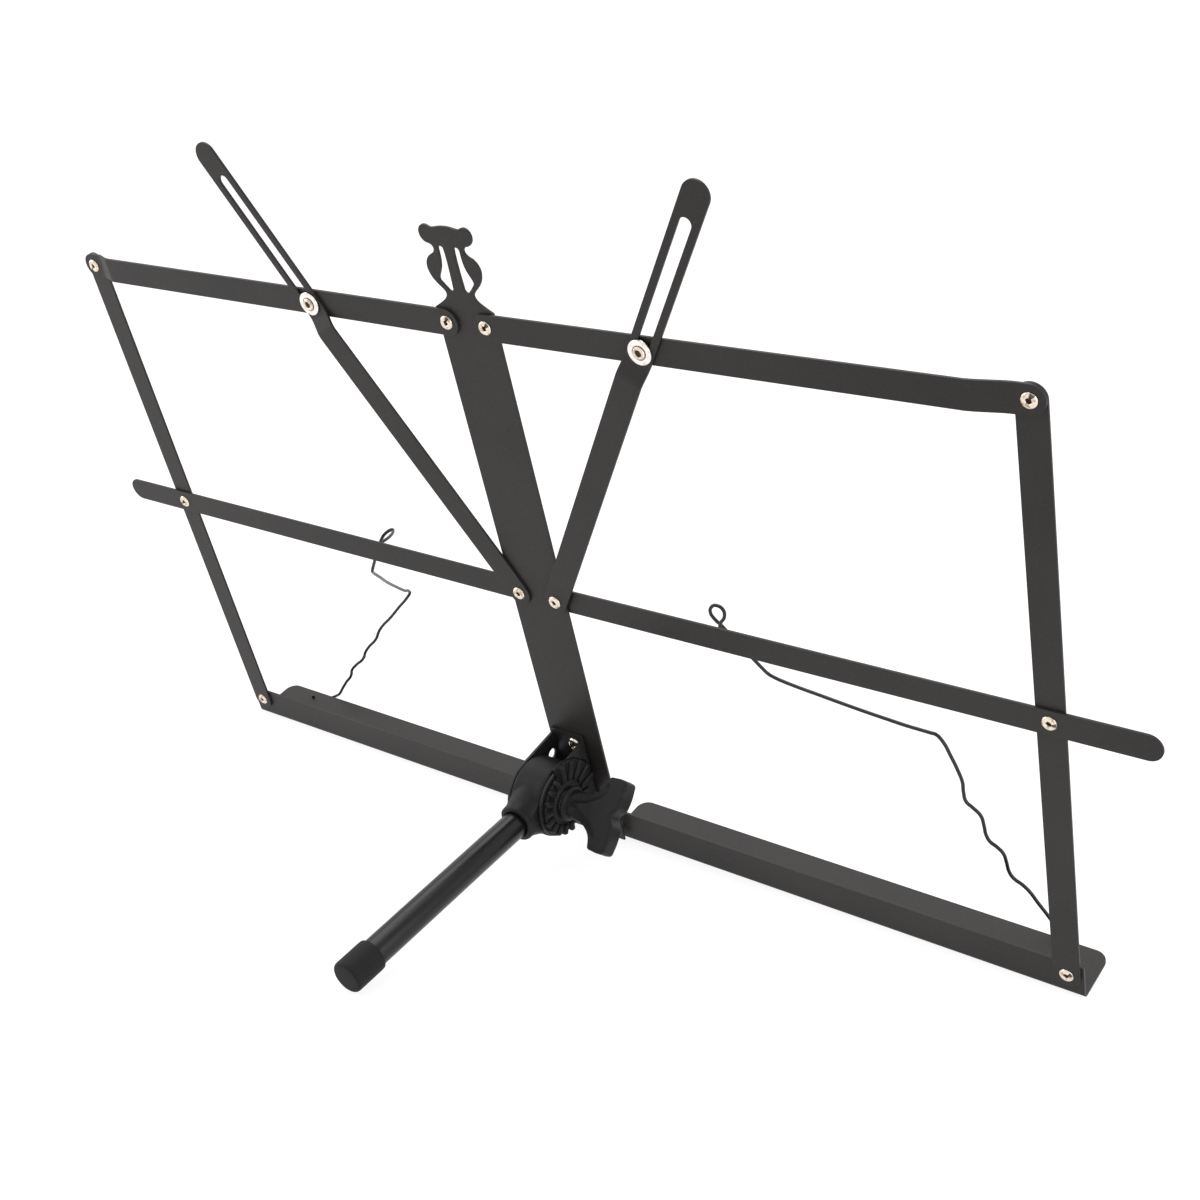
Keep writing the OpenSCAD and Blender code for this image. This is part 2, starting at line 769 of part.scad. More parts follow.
// wing outline in its own plane: x along the bolt, y across the span
module wing_2d() {
    r = 4.2;
    tip_x = knob_len - r;
    difference() {
        union() {
            for (s = [-1, 1]) {
                translate([tip_x, s * (wing_r - r)])
                    circle(r = r, $fn = 40);
                polygon([[hub_len - 5, 0], [hub_len - 5, s * (hub_d / 2 - 0.6)], [hub_len, s * (hub_d / 2 + 0.4)],
                    [tip_x - r, s * (wing_r - 1.2)], [tip_x - r + 1.5, s * (wing_r - 0.4)], [tip_x, s * wing_r],
                    [tip_x, s * (wing_r - r)], [knob_len, s * (wing_r - r)], [knob_len - 2.4, 0]]);
            }
        }
        translate([knob_len + 3.2, 0])
            circle(r = 6, $fn = 40);
    }
}

module wing_knob() {
    depth = hub_len + 3;
    color("#2f2e2c")
        at_bolt()
            translate([knob_x, 0, 0])
                rotate([wing_turn, 0, 0])
                    difference() {
                        union() {
                            along_x(0, collar_t, collar_d, 48);
                            along_x(0, hub_len, hub_d, 48);
                            translate([0, wing_t / 2, 0])
                                rotate([90, 0, 0])
                                    linear_extrude(wing_t)
                                        wing_2d();
                        }
                        along_x(-1, depth, bolt_hole_d);
                    }
}

function unit(v) = v / norm(v);
function tangents(p) = [for (i = [0 : len(p) - 1]) unit(p[min(i + 1, len(p) - 1)] - p[max(i - 1, 0)])];
function flat(n, t) = unit(n - (n * t) * t);
function carried(t, n0) = [for (i = 0, n = flat(n0, t[0]); i < len(t);
    i = i + 1, n = i < len(t) ? flat(n, t[i]) : n) n];

// round wire through the points, with facets round its width
module rod(p, d, sides = 10) {
    t = tangents(p);
    n = carried(t, unit_x);
    rings = [for (i = [0 : len(p) - 1]) for (k = [0 : sides - 1])
        p[i] + d / 2 * (cos(k * 360 / sides) * n[i] + sin(k * 360 / sides) * cross(t[i], n[i]))];
    last = (len(p) - 1) * sides;
    walls = [for (i = [0 : len(p) - 2]) for (k = [0 : sides - 1])
        [i * sides + k, i * sides + (k + 1) % sides, (i + 1) * sides + (k + 1) % sides, (i + 1) * sides + k]];
    ends = [[for (k = [0 : sides - 1]) sides - 1 - k], [for (k = [0 : sides - 1]) last + k]];
    polyhedron(points = rings, faces = [for (f = concat(walls, ends)) [for (j = [len(f) - 1 : -1 : 0]) f[j]]],
        convexity = 6);
}

module page_wire(right) {
    route = right ? wire_right_route : wire_left_route;
    color("#1f1f1f")
        desk()
            side(right)
                translate([wire_x, wire_y, tray_low + metal_t]) {
                    translate([0, 0, wire_under - 0.4])
                        cylinder(h = wire_pin_up - wire_under + 0.4, d = wire_d, $fn = ring_n);
                    rod([for (q = route) [-q[0], q[1], q[2]]], wire_d - 0.02);
                }
}

spine();
hinge_bracket();
bracket_rivet(rivet_up);  // bracket_rivet_upper
bracket_rivet(-rivet_down);  // bracket_rivet_lower
clamp_cheek();
clamp_bolt();
clamp_washer();
wing_knob();
leg_socket();
leg_tube();
rubber_foot();
upper_bar(false);  // upper_bar_left
upper_bar(true);  // upper_bar_right
middle_bar(false);  // middle_bar_left
middle_bar(true);  // middle_bar_right
side_bar(false);  // side_bar_left
side_bar(true);  // side_bar_right
slotted_arm(false);  // slotted_arm_left
slotted_arm(true);  // slotted_arm_right
tray(false);  // tray_left
tray(true);  // tray_right
page_wire(false);  // page_wire_left
page_wire(true);  // page_wire_right
top_rivet(false);  // top_rivet_left
top_rivet(true);  // top_rivet_right
middle_rivet(false);  // middle_rivet_left
middle_rivet(true);  // middle_rivet_right
tray_rivet(false);  // tray_rivet_left
tray_rivet(true);  // tray_rivet_right
tray_bush(false);  // tray_bush_left
tray_bush(true);  // tray_bush_right
corner_rivet(false);  // corner_rivet_left
corner_rivet(true);  // corner_rivet_right
side_rivet(false);  // side_rivet_left
side_rivet(true);  // side_rivet_right
tray_end_rivet(false);  // tray_end_rivet_left
tray_end_rivet(true);  // tray_end_rivet_right
slide_pin(false);  // slide_pin_left
slide_pin(true);  // slide_pin_right
slide_washer(false);  // slide_washer_left
slide_washer(true);  // slide_washer_right
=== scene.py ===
import json
import math
import bpy
from mathutils import Matrix, Vector


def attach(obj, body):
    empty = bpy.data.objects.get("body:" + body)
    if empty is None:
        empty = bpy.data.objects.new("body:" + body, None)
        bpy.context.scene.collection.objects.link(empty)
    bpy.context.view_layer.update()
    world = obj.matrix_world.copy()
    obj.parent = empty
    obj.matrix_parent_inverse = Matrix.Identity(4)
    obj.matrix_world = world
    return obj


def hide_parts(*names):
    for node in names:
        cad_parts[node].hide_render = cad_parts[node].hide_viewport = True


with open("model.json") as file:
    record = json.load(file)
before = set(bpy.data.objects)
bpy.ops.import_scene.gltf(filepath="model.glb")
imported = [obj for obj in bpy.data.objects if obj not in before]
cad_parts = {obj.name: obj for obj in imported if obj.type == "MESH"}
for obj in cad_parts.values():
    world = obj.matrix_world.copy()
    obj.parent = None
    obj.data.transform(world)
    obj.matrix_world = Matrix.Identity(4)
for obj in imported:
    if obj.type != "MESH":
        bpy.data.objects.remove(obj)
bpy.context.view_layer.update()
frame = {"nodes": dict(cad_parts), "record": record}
cadNodes = frame["nodes"]
bodyOf = {}
for bodyName, members in frame["record"]["behaviour"]["bodies"].items():
    for member in members:
        bodyOf[member] = bodyName

mm = 0.001
weld = 0.000002  # metres: points nearer than this become one
sides = ((-1, "left"), (1, "right"))


def turnBy(degrees, axis):
    return Matrix.Rotation(math.radians(degrees), 4, axis)


def shiftBy(x, y, z):
    # in mm
    return Matrix.Translation((x * mm, y * mm, z * mm))


# the desk: x across, y toward the pages, z up along the spine, then leaned back
desk = {
    "lean": 16.0589,  # degrees, all lengths in mm
    "baseY": 24.438995,
    "baseZ": 116.373,
    "centreHalf": 8.7,
    "barLength": 195,
    "barSlope": 0.34,  # degrees
    "upperRise": 114,
    "trayDrop": 113.5,
    "pinReach": 65.8,
    "boltDrop": 84.6,
    "boltFront": 20,
}
deskPlace = shiftBy(0, desk["baseY"], desk["baseZ"]) @ turnBy(desk["lean"], "X")
boltPlace = deskPlace @ shiftBy(0, -desk["boltFront"], -desk["boltDrop"])
slope = math.radians(desk["barSlope"])
slopeX = desk["barLength"] * math.cos(slope)
slopeZ = desk["barLength"] * math.sin(slope)
pinX = desk["pinReach"] * math.cos(slope)
pinZ = desk["upperRise"] + desk["pinReach"] * math.sin(slope)


# working helpers

def clearSelection():
    if bpy.context.mode != "OBJECT":
        bpy.ops.object.mode_set(mode="OBJECT")
    bpy.ops.object.select_all(action="DESELECT")


def activate(piece):
    clearSelection()
    piece.hide_set(False)
    piece.select_set(True)
    bpy.context.view_layer.objects.active = piece


def editAll(piece, kind="VERT"):
    activate(piece)
    bpy.ops.object.mode_set(mode="EDIT")
    bpy.ops.mesh.select_mode(type=kind)
    bpy.ops.mesh.select_all(action="SELECT")


def pick(piece, kind, test):
    # selects the vertices or edges that pass the test, and stays in edit mode
    editAll(piece, kind)
    bpy.ops.mesh.select_all(action="DESELECT")
    bpy.ops.object.mode_set(mode="OBJECT")
    mesh = piece.data
    count = 0
    if kind == "VERT":
        for vertex in mesh.vertices:
            vertex.select = bool(test(vertex.co / mm))
            count += vertex.select
    else:
        for edge in mesh.edges:
            ends = [mesh.vertices[i].co / mm for i in edge.vertices]
            edge.select = bool(test(ends[0], ends[1]))
            count += edge.select
    bpy.ops.object.mode_set(mode="EDIT")
    return count


def weldAll():
    bpy.ops.mesh.select_all(action="SELECT")
    bpy.ops.mesh.remove_doubles(threshold=weld)


def finishMesh(piece):
    # welds and turns all faces outward
    editAll(piece)
    weldAll()
    bpy.ops.mesh.normals_make_consistent(inside=False)
    bpy.ops.object.mode_set(mode="OBJECT")


def modify(piece, kind, **settings):
    activate(piece)
    bpy.ops.object.modifier_add(type=kind)
    modifier = piece.modifiers[-1]
    for key, value in settings.items():
        setattr(modifier, key, value)
    bpy.ops.object.modifier_apply(modifier=modifier.name)


def cutBy(piece, cutter, keep="DIFFERENCE"):
    modify(piece, "BOOLEAN", operation=keep, object=cutter, solver="EXACT")
    bpy.data.objects.remove(cutter)


def smooth(piece, angle, weighted=False):
    activate(piece)
    bpy.ops.object.shade_smooth_by_angle(angle=math.radians(angle))
    if weighted:
        modify(piece, "WEIGHTED_NORMAL", keep_sharp=True)


def placeBy(piece, matrix):
    # puts the piece in its place and keeps that place in the mesh
    activate(piece)
    piece.matrix_world = matrix @ piece.matrix_world
    bpy.ops.object.transform_apply(location=True, rotation=True, scale=True)


def copyOf(piece, name):
    copy = piece.copy()
    copy.data = piece.data.copy()
    copy.name = name
    bpy.context.scene.collection.objects.link(copy)
    return copy


def joined(pieces, name):
    clearSelection()
    for piece in pieces:
        piece.select_set(True)
    bpy.context.view_layer.objects.active = pieces[0]
    bpy.ops.object.join()
    pieces[0].name = name
    return pieces[0]


def startPoint(name, x, y, z):
    # one vertex at that place in mm, left in edit mode for extrude and spin
    clearSelection()
    bpy.ops.mesh.primitive_plane_add(size=mm, location=(0, 0, 0))
    piece = bpy.context.object
    piece.name = name
    bpy.ops.object.mode_set(mode="EDIT")
    bpy.ops.mesh.select_mode(type="VERT")
    bpy.ops.mesh.select_all(action="SELECT")
    bpy.ops.mesh.merge(type="CENTER")
    bpy.ops.transform.translate(value=(x * mm, y * mm, z * mm))
    return piece


def extrudeBy(x, y, z):
    bpy.ops.mesh.extrude_region_move(TRANSFORM_OT_translate={"value": (x * mm, y * mm, z * mm)})


def boxOf(x, y, z, place=(0, 0, 0)):
    # a plain box of that size about that place, in mm
    clearSelection()
    bpy.ops.mesh.primitive_cube_add(size=1)
    box = bpy.context.object
    box.scale = (x * mm, y * mm, z * mm)
    box.location = [value * mm for value in place]
    bpy.ops.object.transform_apply(location=True, rotation=True, scale=True)
    return box


def turned(name, profile, steps=48):
    # a shape turned about z, from (radius, height) points in mm, in order along the surface
    piece = startPoint(name, profile[0][0], 0, profile[0][1])
    for a, b in zip(profile, profile[1:]):
        extrudeBy(b[0] - a[0], 0, b[1] - a[1])
    bpy.ops.mesh.select_all(action="SELECT")
    bpy.ops.mesh.spin(steps=steps, angle=2 * math.pi, center=(0, 0, 0), axis=(0, 0, 1))
    bpy.ops.object.mode_set(mode="OBJECT")
    finishMesh(piece)
    return piece


def rounded(profile, index, radius, steps):
    # the profile with the corner at index rounded by short chords
    a, b, c = (Vector(profile[i]) for i in (index - 1, index, (index + 1) % len(profile)))
    start = b + (a - b).normalized() * radius
    end = b + (c - b).normalized() * radius
    arc = []
    for k in range(steps + 1):
        t = k / steps
        arc.append(tuple((1 - t) ** 2 * start + 2 * t * (1 - t) * b + t * t * end))
    return profile[:index] + arc + profile[index + 1:]


def roundedAll(profile, radii, steps=4):
    # radii: {index: radius}, worked from the last corner back so the indices stay right
    for index in sorted(radii, reverse=True):
        profile = rounded(profile, index, radii[index], steps)
    return profile


curveSteps = {
    "along": 5,  # between two points of a curve
    "edge": 2,  # on the rounded edge of a flat piece
    "hole": 12,  # points of a round hole
    "wire": 4,  # on a quarter of a wire's round
}


def newSpline(curve, count):
    spline = curve.splines.new("BEZIER")
    spline.bezier_points.add(count - 1)
    return spline


def emptyCurve(name, closed):
    # a curve with no spline in it yet
    clearSelection()
    if closed:
        bpy.ops.curve.primitive_bezier_circle_add(radius=1, location=(0, 0, 0))
    else:
        bpy.ops.curve.primitive_bezier_curve_add(location=(0, 0, 0))
    piece = bpy.context.object
    piece.name = name
    piece.data.splines.clear()
    piece.data.resolution_u = piece.data.render_resolution_u = curveSteps["along"]
    return piece


def meshOf(piece):
    activate(piece)
    bpy.ops.object.convert(target="MESH")
    piece = bpy.context.object
    finishMesh(piece)
    return piece


def flatCurve(name, outlines, thick, edge):
    # cut from sheet of that thickness with rounded edges: each outline is a list of (x, y) in
    # mm, or (x, y, "corner") where it isn't smooth
    piece = emptyCurve(name, closed=True)
    curve = piece.data
    for outline in outlines:
        spline = newSpline(curve, len(outline))
        for point, (x, y, *corner) in zip(spline.bezier_points, outline):
            point.co = (x * mm, y * mm, 0)
            point.handle_left_type = point.handle_right_type = "VECTOR" if corner else "AUTO"
        spline.use_cyclic_u = True
    curve.dimensions = "2D"
    curve.fill_mode = "BOTH"
    curve.extrude = (thick / 2 - edge) * mm
    curve.bevel_depth = edge * mm
    curve.bevel_resolution = curveSteps["edge"]
    curve.offset = -edge * mm
    return meshOf(piece)


def ring(x, y, radius):
    # the outline of a round hole
    points = []
    for k in range(curveSteps["hole"]):
        angle = 2 * math.pi * k / curveSteps["hole"]
        points.append((x + radius * math.cos(angle), y + radius * math.sin(angle)))
    return points


def wireOf(name, points, diameter):
    # round wire on one smooth curve through the points, in mm
    piece = emptyCurve(name, closed=False)
    curve = piece.data
    spline = newSpline(curve, len(points))
    for point, place in zip(spline.bezier_points, points):
        point.co = Vector(place) * mm
        point.handle_left_type = point.handle_right_type = "AUTO"
    curve.dimensions = "3D"
    curve.bevel_depth = diameter / 2 * mm
    curve.bevel_resolution = curveSteps["wire"]
    curve.use_fill_caps = True
    piece = meshOf(piece)
    smooth(piece, angle=50)
    return piece


def dress(piece, material, node):
    # finish, material slot, the node it stands for and the body it moves with
    piece.data.materials.clear()
    piece.data.materials.append(material)
    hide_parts(node)
    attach(piece, bodyOf[node])


# finishes

class Signal:
    # one output socket, so that values can be written as sums and products
    def __init__(self, nodes, socket):
        self.nodes = nodes
        self.socket = socket

    def work(self, kind, first, second):
        return self.nodes.take("ShaderNodeMath", {"operation": kind}, {0: first, 1: second})

    def __add__(self, other):
        return self.work("ADD", self, other)

    def __radd__(self, other):
        return self.work("ADD", other, self)

    def __sub__(self, other):
        return self.work("SUBTRACT", self, other)

    def __rsub__(self, other):
        return self.work("SUBTRACT", other, self)

    def __mul__(self, other):
        return self.work("MULTIPLY", self, other)

    def __rmul__(self, other):
        return self.work("MULTIPLY", other, self)


class Nodes:
    # one node tree
    def __init__(self, tree):
        self.tree = tree

    def add(self, kind, settings=None, values=None):
        # the settings first, then a value or a Signal for each named socket
        node = self.tree.nodes.new(kind)
        for key, value in (settings or {}).items():
            setattr(node, key, value)
        for key, value in (values or {}).items():
            if isinstance(value, Signal):
                self.tree.links.new(value.socket, node.inputs[key])
            else:
                node.inputs[key].default_value = value
        return node

    def take(self, kind, settings=None, values=None, output=0):
        # the same, for one output of the new node
        return Signal(self, self.add(kind, settings, values).outputs[output])


class Paint(Nodes):
    # a material with its principled shader, whose sockets are fed one by one
    def __init__(self, name, **constants):
        self.material = bpy.data.materials.new(name)
        self.material.use_nodes = True
        super().__init__(self.material.node_tree)
        self.shader = self.tree.nodes["Principled BSDF"]
        for key, value in constants.items():
            self.shader.inputs[key.replace("_", " ")].default_value = value
        self.coords = self.take("ShaderNodeTexCoord", output="Object")

    def noise(self, scale, detail, rough=0.5, stretch=None):
        place = self.coords
        if stretch:
            place = self.take("ShaderNodeMapping", None, {"Vector": place, "Scale": stretch})
        return self.take("ShaderNodeTexNoise", None, {
            "Vector": place, "Scale": scale, "Detail": detail, "Roughness": rough})

    def step(self, signal, low, high):
        # 0 under low, 1 over high, smooth between them
        return self.take("ShaderNodeMapRange", {"interpolation_type": "SMOOTHSTEP"},
                         {"Value": signal, "From Min": low, "From Max": high})

    def mix(self, amount, a, b):
        # inputs 6 and 7 and output 2 of this node are its colours
        return self.take("ShaderNodeMix", {"data_type": "RGBA"}, {0: amount, 6: a, 7: b},
                         output=2)

    def cloudy(self, cloud, dark, light):
        return self.mix(self.step(cloud, low=0.3, high=0.7), dark, light)

    def feed(self, name, signal):
        self.tree.links.new(signal.socket, self.shader.inputs[name])

    def bump(self, height, distance, strength):
        self.feed("Normal", self.take("ShaderNodeBump", None, {
            "Height": height, "Distance": distance, "Strength": strength}))


def shade(red, green, blue):
    # written as seen on a screen, 0 to 255
    linear = []
    for value in (red, green, blue):
        value = value / 255
        linear.append(value / 12.92 if value <= 0.04 else ((value + 0.055) / 1.055) ** 2.4)
    return (*linear, 1.0)


def powderCoat(name, dark, light, rough):
    # satin powder coat: a fine orange peel, tiny pits and a slight cloudiness
    paint = Paint(name, Specular_IOR_Level=0.22)
    cloud = paint.noise(22, detail=2)
    peel = paint.noise(900, detail=2, rough=0.6)
    speck = paint.step(paint.noise(2600, detail=1), low=0.66, high=0.74)
    tone = paint.cloudy(cloud, dark, light)
    paint.feed("Base Color", paint.mix(speck * 0.3, tone, shade(92, 87, 83)))
    paint.feed("Roughness", rough + (cloud - 0.5) * 0.12 + (peel - 0.5) * 0.1)
    paint.bump(peel + speck * 0.5, distance=0.00006, strength=0.55)
    return paint.material


def mouldedPlastic(name, dark, light, rough):
    # fine spark-eroded grain with faint flow marks
    paint = Paint(name, Specular_IOR_Level=0.2)
    flow = paint.noise(60, detail=3, rough=0.55, stretch=(1, 0.35, 1))
    grain = paint.noise(3200, detail=2, rough=0.7)
    rub = paint.step(paint.noise(260, detail=4, rough=0.7), low=0.56, high=0.78)
    tone = paint.cloudy(flow, dark, light)
    paint.feed("Base Color", paint.mix(rub * 0.22, tone, shade(60, 58, 56)))
    paint.feed("Roughness", rough + (flow - 0.5) * 0.16 - rub * 0.08)
    paint.bump(grain, distance=0.00005, strength=0.6)
    return paint.material


def glossPaint(name, dark, light, rough, coat):
    # stoved paint over drawn steel, a little wavy
    paint = Paint(name, Specular_IOR_Level=0.3, Coat_Weight=coat, Coat_Roughness=0.3)
    cloud = paint.noise(35, detail=2)
    wave = paint.noise(420, detail=1)
    rub = paint.step(paint.noise(300, detail=4, rough=0.7), low=0.6, high=0.8)
    tone = paint.cloudy(cloud, dark, light)
    paint.feed("Base Color", paint.mix(rub * 0.2, tone, shade(58, 57, 56)))
    paint.feed("Roughness", rough + (cloud - 0.5) * 0.1 + (wave - 0.5) * 0.06)
    paint.bump(wave, distance=0.00003, strength=0.25)
    return paint.material


def rubber(name, dark, light):
    # dull rubber with a little dust
    paint = Paint(name, Specular_IOR_Level=0.25)
    cloud = paint.noise(120, detail=3, rough=0.6)
    grain = paint.noise(2200, detail=3, rough=0.7)
    dust = paint.step(paint.noise(700, detail=5, rough=0.75), low=0.58, high=0.8)
    tone = paint.cloudy(cloud, dark, light)
    paint.feed("Base Color", paint.mix(dust * 0.3, tone, shade(70, 67, 64)))
    paint.feed("Roughness", 0.68 + (cloud - 0.5) * 0.2)
    paint.bump(grain, distance=0.00008, strength=0.6)
    return paint.material


def platedMetal(name, tint, shadow, rough, lines):
    # bright plating with dull patches and fine marks, and a painted dark brown shade where the
    # piece is marked as deep
    paint = Paint(name)
    patch = paint.noise(700, detail=3, rough=0.6)
    fine = paint.noise(4200, detail=2, rough=0.6)
    # painted shade: the marked deep places turn dark brown, less metallic and rougher
    soot = paint.take("ShaderNodeAttribute", {"attribute_name": "soot"}, output=2)
    tone = paint.mix(paint.step(patch, low=0.46, high=0.72), tint, shadow)
    paint.feed("Base Color", paint.mix(soot * 0.88, tone, shade(66, 50, 38)))
    paint.feed("Metallic", 1 - soot * 0.6)
    paint.feed("Roughness", rough + (patch - 0.5) * 0.14 + (fine - 0.5) * 0.08 + soot * 0.4)
    paint.bump(fine + patch * lines, distance=0.00003, strength=0.5)
    return paint.material


finishes = {
    "powder": powderCoat("blackPowderCoat", shade(40, 38, 37), shade(47, 44, 43), rough=0.46),
    "bracket": powderCoat("bracketBlack", shade(34, 33, 33), shade(41, 40, 39), rough=0.42),
    "plastic": mouldedPlastic("blackPlastic", shade(19, 18, 18), shade(25, 24, 23), rough=0.50),
    "tube": glossPaint("glossBlackTube", shade(8, 9, 11), shade(12, 13, 16), rough=0.30, coat=0.10),
    "rubber": rubber("blackRubber", shade(15, 15, 15), shade(23, 22, 22)),
    "wire": glossPaint("blackWire", shade(18, 18, 18), shade(28, 27, 27), rough=0.34, coat=0.2),
    # tint and shadow of metals are linear
    "nickel": platedMetal("nickelRivet", (0.81, 0.71, 0.60, 1), (0.40, 0.29, 0.20, 1),
                          rough=0.24, lines=0.4),
    "washer": platedMetal("brightWasher", (0.88, 0.85, 0.80, 1), (0.60, 0.56, 0.50, 1),
                          rough=0.30, lines=0.6),
    "zinc": platedMetal("zincSteel", (0.66, 0.65, 0.62, 1), (0.42, 0.41, 0.39, 1),
                        rough=0.38, lines=0.5),
}
print("finishes:", len(finishes))


# sheet pieces
spineSizes = {
    "width": 26,
    "thick": 1,
    "edge": 0.14,
    "bottom": -120,
    "shoulder": 119.2,
    "crown": 30.4,  # the middle of the lyre's top edge, over the shoulder
    "holes": 1.5,
    "bracketRivets": (-71.9, -93.6),
}
# right half of the lyre over the shoulder, then one of its two openings: x and height
lyreEdge = [
    (13, 0, "corner"), (9.7, 1.9), (7.4, 3.5), (6.4, 4.7), (6.2, 5.8), (6.9, 7), (9, 9),
    (10.8, 11.2), (11.7, 13.4), (11.9, 15.4), (11.3, 17.4), (9.8, 19.2), (7.9, 20.3), (7, 21.1),
    (6.7, 22), (7, 22.9), (7.8, 23.6), (9.8, 24.2), (11, 25.3), (11.6, 26.7), (11.5, 28.4),
    (10.8, 29.6), (9.6, 30.4), (8.3, 30.5), (7.1, 30.1), (6, 29.7), (4.4, 29.9), (2, 30.3),
]
lyreOpening = [
    (2.35, 22.4), (2.8, 23), (4, 23.1), (4.6, 22.6), (4.8, 20.4), (5, 17.8), (5.6, 15.2),
    (6.6, 13.2), (7.5, 11.4), (7.6, 10.5), (6.8, 9.4), (5, 7.5), (4.2, 6.8), (3.4, 6.6),
    (2.6, 7.2), (2.4, 8.4),
]


def buildSpine():
    sizes = spineSizes
    half = sizes["width"] / 2
    up = [(x, sizes["shoulder"] + z, *corner) for x, z, *corner in lyreEdge]
    outline = [(half, sizes["bottom"], "corner")] + up + [(0, sizes["shoulder"] + sizes["crown"])]
    outline += [(-x, z, *corner) for x, z, *corner in reversed(up)]
    outline += [(-half, sizes["bottom"], "corner")]
    cuts = []
    for side in (1, -1):
        cut = [(side * x, sizes["shoulder"] + z) for x, z in lyreOpening]
        cuts.append(cut if side > 0 else cut[::-1])
        for height in (desk["upperRise"], 0, -desk["trayDrop"]):
            cuts.append(ring(side * desk["centreHalf"], height, sizes["holes"]))
    for height in sizes["bracketRivets"]:
        cuts.append(ring(0, height, sizes["holes"]))
    spine = flatCurve("spinePlate", [outline] + cuts, sizes["thick"], sizes["edge"])
    placeBy(spine, deskPlace @ shiftBy(0, sizes["thick"] / 2, 0) @ turnBy(90, "X"))
    smooth(spine, angle=40, weighted=True)
    dress(spine, finishes["powder"], "spine")


sheetSizes = {
    "edge": 0.2,
    # its two bends, from the outer pivot
    "upperStep": {"left": (11.5, 5.5), "right": (17.5, 5.5)},
    "upperBend": {"left": 1.2, "right": 2.2},
    "armStep": (11.4, 4.9),  # two bends of an arm, from its pin
    "armFoot": 6,  # the bend beside the spine, from the arm's pivot
    "armBend": 1.4,
    "bracketEdge": 0.22,
    "bracketBend": 1.5,
    # how the edges of a bend are found: this near to its place, and longer than this
    "bendNear": 0.15,
    "bendLong": 6,
    "bracketNear": 0.02,
    "bracketLong": 20,
    "weld": 0.000004,  # metres
    "flat": 0.6,  # degrees, faces that meet flatter than this become one
}


def sheetCopy(node, name, edge, creases, bend):
    # the CAD sheet with its edges broken, and its bends rounded where creases tells them
    source = cadNodes[node]
    piece = bpy.data.objects.new(name, source.data.copy())
    bpy.context.scene.collection.objects.link(piece)
    piece.data.materials.clear()
    editAll(piece)
    bpy.ops.mesh.remove_doubles(threshold=sheetSizes["weld"])
    bpy.ops.mesh.dissolve_limited(angle_limit=math.radians(sheetSizes["flat"]))
    bpy.ops.object.mode_set(mode="OBJECT")
    placeBy(piece, deskPlace.inverted())
    if creases:
        found = pick(piece, "EDGE", creases)
        print("  bend edges of", name, found)
        bpy.ops.mesh.bevel(offset=bend * mm, segments=4, affect="EDGES", clamp_overlap=True)
        bpy.ops.object.mode_set(mode="OBJECT")
    modify(piece, "BEVEL", width=edge * mm, segments=2, limit_method="ANGLE",
           angle_limit=math.radians(40))
    placeBy(piece, deskPlace)
    smooth(piece, angle=35, weighted=True)
    return piece


def acrossAt(distances, direction, origin):
    # a test for edges that lie across a strip at given distances along it
    near = sheetSizes["bendNear"]

    def along(p):
        return (p.x - origin[0]) * direction[0] + (p.z - origin[1]) * direction[1]

    def test(a, b):
        return (a - b).length > sheetSizes["bendLong"] and any(
            abs(along(a) - d) < near and abs(along(b) - d) < near for d in distances)

    return test


def strip(kind, label, creases=None, bend=0):
    # kind "upper_bar" and label "left" make the piece upperBarLeft
    first, *others = kind.split("_")
    name = first + "".join(word.title() for word in others + [label])
    piece = sheetCopy(kind + "_" + label, name, sheetSizes["edge"], creases, bend)
    dress(piece, finishes["powder"], kind + "_" + label)


def buildStraps():
    sizes = sheetSizes
    upperOut = desk["centreHalf"] + slopeX
    reach = math.hypot(pinX, pinZ)
    for side, label in sides:
        upperBends = [upperOut - step for step in sizes["upperStep"][label]]
        strip("upper_bar", label, acrossAt(upperBends, (side, 0), (0, 0)),
              sizes["upperBend"][label])
        strip("middle_bar", label)
        strip("side_bar", label)
        armBends = [sizes["armFoot"]] + [reach - step for step in sizes["armStep"]]
        strip("slotted_arm", label, acrossAt(
            armBends, (side * pinX / reach, pinZ / reach), (side * desk["centreHalf"], 0)),
            sizes["armBend"])
        strip("tray", label)
    print("straps and trays done")


def bracketFold(a, b):
    # the two upright bends between the back of the bracket and its ears
    near = sheetSizes["bracketNear"]
    upright = abs(a.x - b.x) < near and abs(a.z - b.z) > sheetSizes["bracketLong"]
    return upright and abs(a.y) < near and abs(b.y) < near


def buildBracket():
    bracket = sheetCopy("hinge_bracket", "hingeBracket", sheetSizes["bracketEdge"], bracketFold,
                        sheetSizes["bracketBend"])
    dress(bracket, finishes["bracket"], "hinge_bracket")


buildSpine()
buildStraps()
buildBracket()
print("sheet pieces done")


# rivets, pins and washers
rivetSizes = {
    "shank": 1.5,
    "head": 2.65,
    "bracketHead": 2.95,
    "headHeight": 0.8,
    "bore": 0.85,
    "boreDeep": 1.1,
    "notch": 0.30,  # half angle of the split in the rolled rim, radians
    "notchDeep": 0.62,
    "notchDark": 0.27,  # half angle of its floor, where shade is painted
    "dents": ((1.3, 0.07), (2.6, 0.04), (-2.0, 0.09)),  # where the rim is pressed, and how deep
    "dentWide": 0.35,
    "bracketGrip": 2.2,
    "bracketFront": -1.2,
    "bracketTurns": (120, 30),  # degrees, upper and lower
}


def paintShadeIn(piece, test):
    # marks the deep places of a plated piece, where its finish paints shade into the colour
    marks = piece.data.color_attributes.new("soot", "FLOAT_COLOR", "POINT")
    for vertex in piece.data.vertices:
        level = float(test(vertex.co / mm))
        marks.data[vertex.index].color = (level, level, level, 1)


def fromAxis(p):
    return math.hypot(p.x, p.y)


def aroundAxis(p):
    return math.atan2(p.y, p.x)


